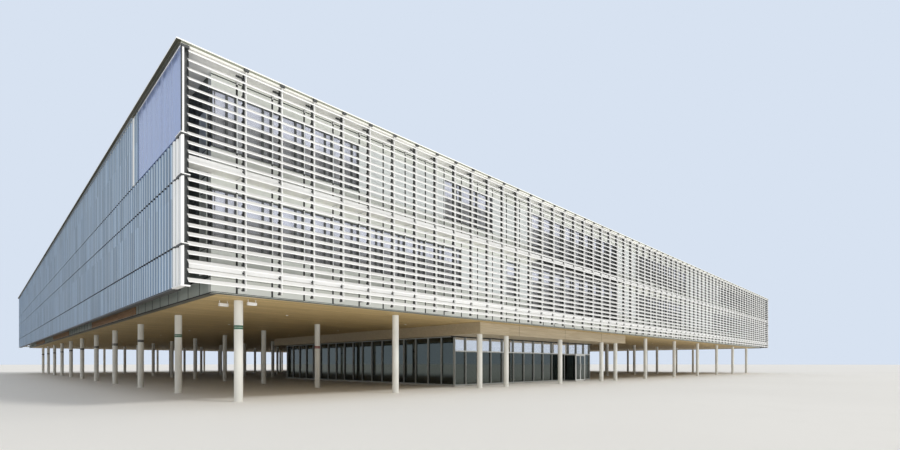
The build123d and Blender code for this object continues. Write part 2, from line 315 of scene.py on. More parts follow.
def cut(piece: bpy.types.Object, axis: int, places: Sequence[float]) -> None:
    """Cut edge rings round a piece.

    Args:
        piece: the piece to cut.
        axis: 0, 1 or 2 for planes square to X, Y or Z.
        places: where the planes lie along that axis.
    """
    square = [0.0, 0.0, 0.0]
    square[axis] = 1.0
    for place in places:
        pick_faces(piece, everywhere)
        point = [v * place * MM for v in square]
        bpy.ops.mesh.bisect(plane_co=point, plane_no=square)
        close_edit()


def repeat(piece: bpy.types.Object, count: int, step: Point) -> bpy.types.Object:
    """Repeat a piece in one line.

    Args:
        piece: the piece, modelled once.
        count: how many there are in all.
        step: the move from one to the next, in millimetres.

    Returns:
        The same piece, now with all its repeats.
    """
    hold(piece)
    array = piece.modifiers.new("repeat", "ARRAY")
    array.count = count
    array.use_relative_offset = False
    array.use_constant_offset = True
    array.constant_offset_displace = [v * MM for v in step]
    bpy.ops.object.modifier_apply(modifier=array.name)
    return piece


def copy_to(piece: bpy.types.Object, moves: Sequence[Point]) -> list[bpy.types.Object]:
    """Copy a piece to other places, each copy with its own mesh.

    Args:
        piece: the piece, modelled once.
        moves: the move to each copy, in millimetres.

    Returns:
        The copies, without the piece itself.
    """
    made = []
    for move in moves:
        hold(piece)
        bpy.ops.object.duplicate_move(
            OBJECT_OT_duplicate={"linked": False},
            TRANSFORM_OT_translate={"value": tuple(v * MM for v in move)})
        made.append(bpy.context.object)
    return made


def place_copies(piece: bpy.types.Object, moves: Sequence[Point]) -> list[bpy.types.Object]:
    """Copy a piece to its places and take the pattern away.

    Args:
        piece: the pattern, which is used up.
        moves: the move to each place, in millimetres.

    Returns:
        The copies.
    """
    made = copy_to(piece, moves)
    bpy.data.objects.remove(piece)
    return made


def join(name: str, pieces: Sequence[bpy.types.Object]) -> bpy.types.Object:
    """Join pieces into one.

    Args:
        name: name of the joined piece.
        pieces: the pieces, which are used up.

    Returns:
        The joined piece.
    """
    piece = hold(*pieces)
    bpy.ops.object.join()
    piece.name = piece.data.name = name
    settle(piece)
    return piece


def across(piece: bpy.types.Object, name: str, axis: int) -> bpy.types.Object:
    """Make the mirrored copy of a piece on the opposite side of the plan.

    Args:
        piece: the piece on one side.
        name: name of the copy.
        axis: 0 to go from left to right, 1 to go from front to back.

    Returns:
        The copy.
    """
    copy = copy_to(piece, [(0.0, 0.0, 0.0)])[0]
    copy.name = copy.data.name = name
    flip = [1.0, 1.0, 1.0]
    flip[axis] = -1.0
    pick_faces(copy, everywhere)
    bpy.ops.transform.resize(value=flip, center_override=(0.0, 0.0, 0.0))
    bpy.ops.mesh.flip_normals()
    close_edit()
    return copy


def tidy_mesh(piece: bpy.types.Object, merge: bool = False, smooth: bool = False) -> None:
    """Turn a piece's faces outwards and set its shading.

    Args:
        piece: the piece to tidy.
        merge: True where its doubled points are merged first.
        smooth: True where its round sides are shaded smooth.
    """
    pick_faces(piece, everywhere)
    if merge:
        bpy.ops.mesh.remove_doubles(threshold=MERGE * MM)
    bpy.ops.mesh.normals_make_consistent(inside=False)
    close_edit()
    if smooth:
        bpy.ops.object.shade_smooth_by_angle(angle=math.radians(ROUND_ANGLE))


class Wiring:
    """Adds nodes to one tree and links them."""

    def __init__(self, tree: bpy.types.NodeTree) -> None:
        """Work on one tree."""
        self.tree = tree

    def feed(self, socket: bpy.types.NodeSocket, value: object) -> None:
        """Link a socket to another one, or set its value.

        Args:
            socket: the input.
            value: an output socket, a number, a vector or a colour.
        """
        if isinstance(value, bpy.types.NodeSocket):
            self.tree.links.new(value, socket)
        elif socket.type == "RGBA" and len(value) == 3:
            socket.default_value = (*value, 1.0)
        else:
            socket.default_value = value

    def node(self, kind: str, feeds: dict, **settings: object) -> bpy.types.Node:
        """Add a node.

        Args:
            kind: its type name.
            feeds: what its inputs get, by name or number.
            settings: its own settings.

        Returns:
            The node.
        """
        made = self.tree.nodes.new(kind)
        for key, value in settings.items():
            setattr(made, key, value)
        for key, value in feeds.items():
            self.feed(made.inputs[key], value)
        return made

    def here(self) -> bpy.types.NodeSocket:
        """Object coordinates, in metres of the model."""
        return self.node("ShaderNodeTexCoord", {}).outputs["Object"]

    def distance(self, axis: str) -> bpy.types.NodeSocket:
        """Distance from the plan's middle, or from the ground, in metres."""
        place = self.node("ShaderNodeSeparateXYZ", {0: self.here()}).outputs[axis]
        return self.math("ABSOLUTE", place)

    def math(self, work: str, a: object, b: object = 0.0) -> bpy.types.NodeSocket:
        """Output of a Math node."""
        return self.node("ShaderNodeMath", {0: a, 1: b}, operation=work).outputs[0]

    def vector(self, work: str, a: object, b: object = (0.0, 0.0, 0.0)) -> bpy.types.NodeSocket:
        """Output of a Vector Math node."""
        return self.node("ShaderNodeVectorMath", {0: a, 1: b}, operation=work).outputs[0]

    def noise(self, place: object, scale: object, detail: float = 4.0) -> bpy.types.NodeSocket:
        """Strength of a noise texture."""
        feeds = {"Vector": place, "Scale": scale, "Detail": detail}
        return self.node("ShaderNodeTexNoise", feeds).outputs["Fac"]

    def ramp(self, value: object, low: object, high: object, to_low: object = 0.0,
             to_high: object = 1.0) -> bpy.types.NodeSocket:
        """Value carried from one range to another, and held inside it.

        Args:
            value: the value.
            low: where the first range starts.
            high: where it ends.
            to_low: what its start becomes.
            to_high: what its end becomes.

        Returns:
            The carried value.
        """
        feeds = {"Value": value, "From Min": low, "From Max": high,
                 "To Min": to_low, "To Max": to_high}
        return self.node("ShaderNodeMapRange", feeds, clamp=True).outputs[0]

    def mix(self, share: object, a: object, b: object, blend: str = "MIX") -> bpy.types.NodeSocket:
        """Colour between two others.

        Args:
            share: 0 for the first colour, 1 for the second.
            a: the first colour.
            b: the second colour.
            blend: how the second is laid over the first.

        Returns:
            The colour between them.
        """
        feeds = {0: share, 6: a, 7: b}
        made = self.node("ShaderNodeMix", feeds, data_type="RGBA", blend_type=blend)
        return made.outputs[2]


class EffectKit:
    """Node groups that several finishes use, each built once."""

    PATCHES: tuple[float, float] = (0.42, 0.72)
    RUNS: tuple[float, float] = (0.5, 0.72)
    RUN_STRETCH: Point = (9.0, 9.0, 0.5)
    FINE_SCALE: float = 30.0
    SOIL_ROUGHNESS: float = 0.35
    LOT_SHIFT: Point = (0.0675, 0.0675, 0.0003)
    LOT_JUMP: Point = (7.0, 7.0, 7.0)
    BROAD_GRAIN: tuple[float, float] = (0.35, 0.68)
    BROAD_SHARE: float = 0.65
    FINE_GRAIN: float = 5.0

    def __init__(self) -> None:
        """Build the groups."""
        self.weathering = self._weathering()
        self.lots = self._lots()
        self.grain = self._grain()

    @staticmethod
    def _group(name: str, inputs: dict[str, object],
               outputs: dict[str, str]) -> tuple[bpy.types.NodeTree, Wiring, dict, bpy.types.Node]:
        """Open a new group.

        Args:
            name: its name.
            inputs: the standing value of each input.
            outputs: the socket type of each output.

        Returns:
            The group, its wiring, its inputs inside by name, and its output node.
        """
        tree = bpy.data.node_groups.new(name, "ShaderNodeTree")
        for label, value in inputs.items():
            kind = "NodeSocketFloat"
            if not isinstance(value, float):
                kind = "NodeSocketColor" if "Colour" in label else "NodeSocketVector"
            socket = tree.interface.new_socket(label, in_out="INPUT", socket_type=kind)
            socket.default_value = (*value, 1.0) if kind == "NodeSocketColor" else value
        for label, kind in outputs.items():
            tree.interface.new_socket(label, in_out="OUTPUT", socket_type=kind)
        entry = tree.nodes.new("NodeGroupInput")
        return tree, Wiring(tree), entry.outputs, tree.nodes.new("NodeGroupOutput")

    def _weathering(self) -> bpy.types.NodeTree:
        """Soil in patches and in streaks that run down, with a fine unevenness.

        Returns:
            The group.
        """
        tree, wire, given, out = self._group(
            "Weathering",
            {"Colour": (0.8, 0.8, 0.8), "Soil Colour": (0.3, 0.28, 0.25), "Soil": 0.2,
             "Streaks": 0.3, "Scale": 6.0, "Roughness": 0.5},
            {"Colour": "NodeSocketColor", "Roughness": "NodeSocketFloat",
             "Height": "NodeSocketFloat"})
        place = wire.here()
        patches = wire.ramp(wire.noise(place, given["Scale"], 6.0), *self.PATCHES)
        drawn = wire.vector("MULTIPLY", place, self.RUN_STRETCH)
        runs = wire.ramp(wire.noise(drawn, given["Scale"], 3.0), *self.RUNS)
        runs = wire.math("MULTIPLY", runs, given["Streaks"])
        soil = wire.math("MULTIPLY", wire.math("MAXIMUM", patches, runs), given["Soil"])
        fine = wire.noise(place, wire.math("MULTIPLY", given["Scale"], self.FINE_SCALE), 2.0)
        wire.feed(out.inputs["Colour"], wire.mix(soil, given["Colour"], given["Soil Colour"]))
        more = wire.math("MULTIPLY", soil, self.SOIL_ROUGHNESS)
        wire.feed(out.inputs["Roughness"], wire.math("ADD", given["Roughness"], more))
        wire.feed(out.inputs["Height"], wire.math("ADD", fine, soil))
        return tree

    def _lots(self) -> bpy.types.NodeTree:
        """Slight change of shade from one sheet, panel or board to the next.

        Returns:
            The group.
        """
        tree, wire, given, out = self._group(
            "Lots",
            {"Colour": (0.8, 0.8, 0.8), "Lot Size": (0.135, 0.135, 0.3), "Spread": 0.06},
            {"Colour": "NodeSocketColor", "Lot": "NodeSocketFloat"})
        shifted = wire.vector("ADD", wire.here(), self.LOT_SHIFT)
        cell = wire.vector("FLOOR", wire.vector("DIVIDE", shifted, given["Lot Size"]))
        lot = wire.node("ShaderNodeTexWhiteNoise", {"Vector": cell}).outputs["Value"]
        low = wire.math("SUBTRACT", 1.0, given["Spread"])
        high = wire.math("ADD", 1.0, given["Spread"])
        shade = wire.ramp(lot, 0.0, 1.0, low, high)
        colour = wire.vector("SCALE", given["Colour"])
        wire.feed(colour.node.inputs["Scale"], shade)
        wire.feed(out.inputs["Colour"], colour)
        wire.feed(out.inputs["Lot"], lot)
        return tree

    def _grain(self) -> bpy.types.NodeTree:
        """Wood grain drawn out along the boards.

        Returns:
            The group.
        """
        tree, wire, given, out = self._group(
            "Grain",
            {"Light Colour": (0.6, 0.4, 0.2), "Dark Colour": (0.3, 0.18, 0.08),
             "Stretch": (1.0, 20.0, 20.0), "Scale": 12.0, "Lot": 0.5},
            {"Colour": "NodeSocketColor", "Height": "NodeSocketFloat"})
        place = wire.vector("MULTIPLY", wire.here(), given["Stretch"])
        jump = wire.node("ShaderNodeCombineXYZ", dict.fromkeys(range(3), given["Lot"]))
        moved = wire.vector("MULTIPLY_ADD", jump.outputs[0], self.LOT_JUMP)
        wire.feed(moved.node.inputs[2], place)
        broad = wire.ramp(wire.noise(moved, given["Scale"], 5.0), *self.BROAD_GRAIN)
        fine = wire.noise(moved, wire.math("MULTIPLY", given["Scale"], self.FINE_GRAIN), 3.0)
        share = wire.math("ADD", wire.math("MULTIPLY", broad, self.BROAD_SHARE),
                          wire.math("MULTIPLY", fine, 1.0 - self.BROAD_SHARE))
        colour = wire.mix(share, given["Light Colour"], given["Dark Colour"])
        wire.feed(out.inputs["Colour"], colour)
        wire.feed(out.inputs["Height"], share)
        return tree


EFFECTS = EffectKit()


@dataclass(frozen=True)
class Finish:
    """One finish of the building, from which its material is made."""

    name: str
    colour: Colour
    roughness: float = 0.5
    metallic: float = 0.0

    def make(self) -> bpy.types.Material:
        """Make the material.

        Returns:
            The material, or the one already made under this name.
        """
        known = bpy.data.materials.get(self.name)
        if known:
            return known
        material = bpy.data.materials.new(self.name)
        material.use_nodes = True
        material.diffuse_color = (*self.colour, 1.0)
        wire = Wiring(material.node_tree)
        shader = material.node_tree.nodes["Principled BSDF"]
        shader.inputs["Metallic"].default_value = self.metallic
        shader.inputs["Roughness"].default_value = self.roughness
        self.wire_up(wire, shader)
        return material

    def wire_up(self, wire: Wiring, shader: bpy.types.Node) -> None:
        """Link this finish's own pattern to the shader."""
        raise NotImplementedError

    @staticmethod
    def bump(wire: Wiring, shader: bpy.types.Node, height: bpy.types.NodeSocket,
             depth: float) -> None:
        """Raise the surface a little.

        Args:
            wire: the wiring of the material.
            shader: its shader.
            height: the pattern.
            depth: its depth in millimetres.
        """
        feeds = {"Strength": 1.0, "Distance": depth * MM, "Height": height}
        wire.feed(shader.inputs["Normal"], wire.node("ShaderNodeBump", feeds).outputs[0])


@dataclass(frozen=True)
class Coated(Finish):
    """Painted, coated or bare metal and cladding in separate sheets."""

    soil_colour: Colour = (0.33, 0.31, 0.28)
    soil: float = 0.18
    streaks: float = 0.5
    scale: float = 5.0
    lot: Point = (135.0, 135.0, 400.0)
    spread: float = 0.05
    uneven: float = 0.1

    def wire_up(self, wire: Wiring, shader: bpy.types.Node) -> None:
        """Give each sheet its shade, then soil it.

        Args:
            wire: the wiring of the material.
            shader: its shader.
        """
        feeds = {"Colour": self.tone(wire), "Lot Size": tuple(v * MM for v in self.lot),
                 "Spread": self.spread}
        lots = wire.node("ShaderNodeGroup", feeds, node_tree=EFFECTS.lots)
        feeds = {"Colour": lots.outputs["Colour"], "Soil Colour": self.soil_colour,
                 "Soil": self.soil, "Streaks": self.streaks, "Scale": self.scale,
                 "Roughness": self.roughness}
        soiled = wire.node("ShaderNodeGroup", feeds, node_tree=EFFECTS.weathering)
        wire.feed(shader.inputs["Base Color"], soiled.outputs["Colour"])
        wire.feed(shader.inputs["Roughness"], soiled.outputs["Roughness"])
        self.bump(wire, shader, soiled.outputs["Height"], self.uneven)

    def tone(self, wire: Wiring) -> object:
        """Colour before soiling: plain here, changing over the surface in other finishes."""
        return self.colour


@dataclass(frozen=True)
class TwoTone(Coated):
    """Coating with another colour beyond a plane."""

    beyond: Colour = (0.8, 0.8, 0.8)
    axis: str = "Y"
    plane: float = 4300.0

    def tone(self, wire: Wiring) -> bpy.types.NodeSocket:
        """Change from one colour to the other at the plane."""
        out = wire.math("GREATER_THAN", wire.distance(self.axis), self.plane * MM)
        return wire.mix(out, self.colour, self.beyond)


@dataclass(frozen=True)
class Fluting(Coated):
    """Folded sheet with painted light and shade: shaded folds and crests, sunlit flanks."""

    # Painted shade: crest and fold are the colours of the crests and folds as if in shade; the
    # plain colour is the flanks as lit by the sun.
    crest: Colour = (0.3, 0.4, 0.5)
    fold: Colour = (0.05, 0.07, 0.09)
    fold_at: float = 4322.6
    flank_at: float = 4324.4
    crest_at: float = 4327.6

    def tone(self, wire: Wiring) -> bpy.types.NodeSocket:
        """Choose the painted light and shade by how far out a point of the sheet lies.

        Args:
            wire: the wiring of the material.

        Returns:
            The colour before soiling.
        """
        out = wire.distance("X")
        rise = wire.ramp(out, self.fold_at * MM, self.flank_at * MM)
        flank = wire.mix(rise, self.fold, self.colour)
        return wire.mix(wire.math("GREATER_THAN", out, self.crest_at * MM), flank, self.crest)


@dataclass(frozen=True)
class PaintedGlow(Coated):
    """Thin slats that give off a faint painted glow of their own colour, though they are no lamp.
    """

    painted_glow: float = 0.34

    def wire_up(self, wire: Wiring, shader: bpy.types.Node) -> None:
        """Soil the slats as usual, and give them a faint painted glow of their own colour.

        Args:
            wire: the wiring of the material.
            shader: its shader.
        """
        super().wire_up(wire, shader)
        soiled = shader.inputs["Base Color"].links[0].from_socket
        # Painted light: the slats' own colour glows faintly.
        wire.feed(shader.inputs["Emission Color"], soiled)
        shader.inputs["Emission Strength"].default_value = self.painted_glow


@dataclass(frozen=True)
class RoofCoat(Coated):
    """Membrane on the tray, pale lip, painted shade in the recess below it and past the ends, and
    pale underside.
    """

    lip: Colour = (0.95, 0.95, 0.93)
    # Painted shade: recess is the shadow band under the lip, and the near-black colour past the
    # ends is the shade of the overhang.
    recess: Colour = (0.30, 0.31, 0.25)
    end_shade: Colour = (0.06, 0.06, 0.04)
    over_sheet: Colour = (0.30, 0.36, 0.42)
    under: Colour = (0.92, 0.91, 0.86)
    lip_at: float = 1208.4
    recess_at: float = 1205.0
    under_at: float = 1200.4
    glass_end: float = 3634.0

    def tone(self, wire: Wiring) -> bpy.types.NodeSocket:
        """Choose the colour, with its painted shade, by level and by distance from the middle.

        Args:
            wire: the wiring of the material.

        Returns:
            The colour before soiling.
        """
        far_x, far_y, level = (wire.distance(axis) for axis in "XYZ")
        edge = wire.math("MAXIMUM", wire.math("GREATER_THAN", far_x, PLAN.wall_x * MM),
                         wire.math("GREATER_THAN", far_y, PLAN.wall_y * MM))
        # Painted shade under the lip and past the ends.
        lip_shadow_mask = wire.math("GREATER_THAN", level, self.recess_at * MM)
        side = wire.mix(lip_shadow_mask, self.under, self.recess)
        past_end = wire.math("GREATER_THAN", far_x, PLAN.screen_x * MM)
        over_sheet = wire.math("MULTIPLY", wire.math("LESS_THAN", far_y, self.glass_end * MM),
                               wire.math("LESS_THAN", level, self.under_at * MM))
        below = wire.mix(past_end, side, wire.mix(over_sheet, self.end_shade, self.over_sheet))
        outside = wire.mix(wire.math("GREATER_THAN", level, self.lip_at * MM), below, self.lip)
        return wire.mix(edge, self.colour, outside)


class Run(Enum):
    """Way in which boards run."""

    ALONG_X = (0.6, 26.0, 26.0)
    ALONG_Y = (26.0, 0.6, 26.0)


@dataclass(frozen=True)
class Boards(Finish):
    """Oiled boards, each with its own shade and grain."""

    dark: Colour = (0.20, 0.12, 0.05)
    run: Run = Run.ALONG_X
    lot: Point = (900.0, 12.0, 1000.0)
    spread: float = 0.22
    raised: float = 0.3

    def wire_up(self, wire: Wiring, shader: bpy.types.Node) -> None:
        """Draw the grain board by board.

        Args:
            wire: the wiring of the material.
            shader: its shader.
        """
        feeds = {"Colour": self.colour, "Lot Size": tuple(v * MM for v in self.lot),
                 "Spread": self.spread}
        lots = wire.node("ShaderNodeGroup", feeds, node_tree=EFFECTS.lots)
        feeds = {"Light Colour": lots.outputs["Colour"], "Dark Colour": self.dark,
                 "Stretch": self.run.value, "Lot": lots.outputs["Lot"]}
        grain = wire.node("ShaderNodeGroup", feeds, node_tree=EFFECTS.grain)
        wire.feed(shader.inputs["Base Color"], grain.outputs["Colour"])
        self.bump(wire, shader, grain.outputs["Height"], self.raised)


@dataclass(frozen=True)
class Glazing(Finish):
    """Glass that lets part of the light through."""

    see_through: float = 0.8
    bend: float = 1.5
    dust: float = 0.12
    dust_colour: Colour = (0.62, 0.62, 0.58)
    dust_range: tuple[float, float] = (0.45, 0.8)
    dust_roughness: float = 0.8
    drawn: Point = (7.0, 7.0, 7.0)

    def tone(self, wire: Wiring) -> object:
        """Colour of the clean glass: plain here, with a painted sky reflection above the transom in
        the lobby.
        """
        return self.colour

    def wire_up(self, wire: Wiring, shader: bpy.types.Node) -> None:
        """Let light through, with a faint dust or streaks on the panes.

        Args:
            wire: the wiring of the material.
            shader: its shader.
        """
        shader.inputs["Transmission Weight"].default_value = self.see_through
        shader.inputs["IOR"].default_value = self.bend
        place = wire.vector("MULTIPLY", wire.here(), self.drawn)
        dust = wire.ramp(wire.noise(place, 1.0, 5.0), *self.dust_range, 0.0, self.dust)
        tint = wire.mix(dust, self.tone(wire), self.dust_colour)
        wire.feed(shader.inputs["Base Color"], tint)
        rough = wire.math("MULTIPLY", dust, self.dust_roughness)
        wire.feed(shader.inputs["Roughness"], wire.math("ADD", rough, self.roughness))


@dataclass(frozen=True)
class LobbyGlazing(Glazing):
    """Dark glass with a pale painted sky reflection above the transom of the lobby front."""

    # Painted reflection of the sky above the transom.
    high: Colour = (1.0, 1.0, 1.0)
    transom: float = 241.0
    front_depth: float = 15.0

    def tone(self, wire: Wiring) -> bpy.types.NodeSocket:
        """Choose the colour by level, with a painted sky reflection on the front alone.

        Args:
            wire: the wiring of the material.

        Returns:
            The colour of the clean glass with its painted reflection.
        """
        # Painted sky reflection: pale above the transom, on the front alone.
        above = wire.math("GREATER_THAN", wire.distance("Z"), self.transom * MM)
        front = wire.math("GREATER_THAN", wire.distance("Y"),
                          -(PLAN.lobby_front + self.front_depth) * MM)
        return wire.mix(wire.math("MULTIPLY", above, front), self.colour, self.high)


class Look(Enum):
    """Every finish of the building."""

    COLUMN = Coated("column white", (0.86, 0.86, 0.81), 0.45, soil=0.18, scale=9.0,
                    lot=(810.0, 810.0, 900.0), spread=0.03)
    BAND_GREEN = Coated("column band green", (0.02, 0.13, 0.07), 0.5, soil=0.05)
    BAND_RED = Coated("column band red", (0.25, 0.03, 0.03), 0.5, soil=0.05)
    DARK_STEEL = Coated("dark steel", (0.03, 0.033, 0.033), 0.5, soil=0.1)
    WHITE_METAL = Coated("white coated aluminium", (0.84, 0.84, 0.83), 0.35, soil=0.1,
                         lot=(810.0, 810.0, 30.3), spread=0.02)
    CREAM = Coated("cream plate coat", (0.84, 0.83, 0.77), 0.5, soil=0.12)
    # The crest and fold colours of both fluted finishes are painted shade.
    FLUTED = Fluting("fluted aluminium", (0.46, 0.56, 0.66), 0.5, 0.1, soil=0.1, streaks=0.9,
                     lot=(500.0, 37.0, 180.0), spread=0.16, crest=(0.11, 0.20, 0.34),
                     fold=(0.015, 0.02, 0.03))
    FLUTED_PALE = Fluting("pale fluted corner", (0.88, 0.90, 0.90), 0.4, soil=0.06,
                          lot=(500.0, 37.0, 180.0), spread=0.03, crest=(0.86, 0.88, 0.90),
                          fold=(0.06, 0.07, 0.08))
    # Beyond the plane, at the wall's corners, the cladding is painted near black as painted shade
    # of the corner.
    PANEL = TwoTone("pale cladding", (0.83, 0.87, 0.87), 0.25, soil=0.1, spread=0.06,
                    beyond=(0.05, 0.055, 0.05), axis="X", plane=4201.5)
    SPANDREL = TwoTone("pale green cladding", (0.60, 0.62, 0.59), 0.4, soil=0.15, spread=0.05,
                       beyond=(0.82, 0.85, 0.80), axis="Z", plane=466.0)
    ZINC = Coated("weathered zinc", (0.115, 0.135, 0.12), 0.55, soil=0.35, scale=7.0,
                  lot=(67.5, 67.5, 190.0), spread=0.18)
    BASE_ZINC = TwoTone("pale weathered zinc", (0.06, 0.062, 0.05), 0.45, soil=0.3, scale=8.0,
                        lot=(135.0, 135.0, 190.0), spread=0.14, beyond=(0.42, 0.46, 0.42),
                        axis="Z", plane=410.5)
    CONCRETE = Coated("bare concrete", (0.50, 0.49, 0.46), 0.85, soil=0.35, scale=3.0,
                      lot=(900.0, 900.0, 900.0), uneven=0.5)
    MEMBRANE = Coated("roof membrane", (0.62, 0.62, 0.59), 0.75, soil=0.35, scale=1.6,
                      lot=(150.0, 9000.0, 50.0), spread=0.05)
    ROOF = RoofCoat("roof sheet", (0.60, 0.60, 0.57), 0.6, soil=0.2, scale=1.6,
                    lot=(9000.0, 9000.0, 900.0), spread=0.0)
    FRAME = Coated("grey frame coat", (0.12, 0.13, 0.13), 0.45, soil=0.12)
    LOBBY_FRAME = Coated("lobby frame coat", (0.36, 0.38, 0.37), 0.4, soil=0.12)
    PORCH = Coated("pale frame coat", (0.78, 0.80, 0.80), 0.4, soil=0.08)
    SCREEN_POST = TwoTone("screen post coat", (0.02, 0.022, 0.022), 0.6, soil=0.05,
                          beyond=(0.62, 0.68, 0.76), axis="X", plane=4321.0)
    SEALANT = Coated("dark joint filler", (0.02, 0.022, 0.022), 0.8, soil=0.05)
    # The blind slats carry a faint painted glow.
    BLIND = PaintedGlow("pale blind slats", (0.86, 0.88, 0.96), 0.6, soil=0.05, spread=0.04)
    SOFFIT = Boards("soffit boards", (0.62, 0.46, 0.22), 0.55, dark=(0.33, 0.24, 0.11))
    FASCIA = Boards("canopy boards", (0.55, 0.47, 0.33), 0.5, dark=(0.36, 0.28, 0.17),
                    lot=(455.0, 14.0, 14.0), spread=0.08)
    SLATS = Boards("level wall boards", (0.50, 0.29, 0.15), 0.6, dark=(0.22, 0.12, 0.06),
                   run=Run.ALONG_Y, lot=(12.0, 430.0, 10.2))
    WINDOW = Glazing("solar glass", (0.94, 0.95, 0.98), 0.03, see_through=0.78, bend=1.6,
                     dust=0.05)
    CLEAR = LobbyGlazing("clear glass", (0.10, 0.12, 0.11), 0.02, 0.62, see_through=0.92,
                         dust=0.04)
    CORNER = Glazing("tinted corner glass", (0.30, 0.40, 0.72), 0.12, 0.15, see_through=0.3,
                     dust=0.6, dust_colour=(0.60, 0.66, 0.78), drawn=(3.0, 24.0, 0.8))
    LAMP = Coated("lamp housing", (0.86, 0.86, 0.84), 0.4, soil=0.05)
    LENS = Coated("lamp lens", (0.92, 0.92, 0.88), 0.2, soil=0.0)

    def paint(self, piece: bpy.types.Object) -> None:
        """Put this finish all over a piece.

        Args:
            piece: the piece, new or with a finish already.
        """
        material = self.value.make()
        if not piece.material_slots:
            piece.data.materials.append(material)
        for slot in piece.material_slots:
            slot.material = material

    def paint_part(self, piece: bpy.types.Object, test: FaceTest) -> None:
        """Put this finish on some faces of a piece that has another one already.

        Args:
            piece: the piece.
            test: picks the faces.
        """
        piece.data.materials.append(self.value.make())
        pick_faces(piece, test)
        piece.active_material_index = len(piece.material_slots) - 1
        bpy.ops.object.material_slot_assign()
        close_edit()


def deliver(piece: bpy.types.Object, slot: str, *stands_for: str, body: str = "building") -> None:
    """Hand a finished piece over to the frame.

    Args:
        piece: the piece.
        slot: the record's material slot; not used.
        stands_for: the CAD nodes that it replaces.
        body: the body that it rides on.
    """
    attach(piece, body)
    if stands_for:
        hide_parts(*stands_for)
    faces = sum(len(face.vertices) - 2 for face in piece.data.polygons)
    log.info("%s: %d triangles", piece.name, faces)


def deliver_both(near: bpy.types.Object, look: Look, slot: str, axis: int,
                 nodes: Sequence[str] = ()) -> None:
    """Mirror a piece across the plan, then dress both and hand them over.

    Args:
        near: the piece on the front or on the left.
        look: the finish of both.
        slot: the record's material slot, handed on to deliver.
        axis: 0 to go from left to right, 1 to go from front to back.
        nodes: the CAD node that each of the two replaces, or none.
    """
    side, opposite = (("left", "right"), ("front", "back"))[axis]
    far = across(near, near.name.replace(side, opposite), axis)
    for i, piece in enumerate((near, far)):
        look.paint(piece)
        deliver(piece, slot, *nodes[i:i + 1])


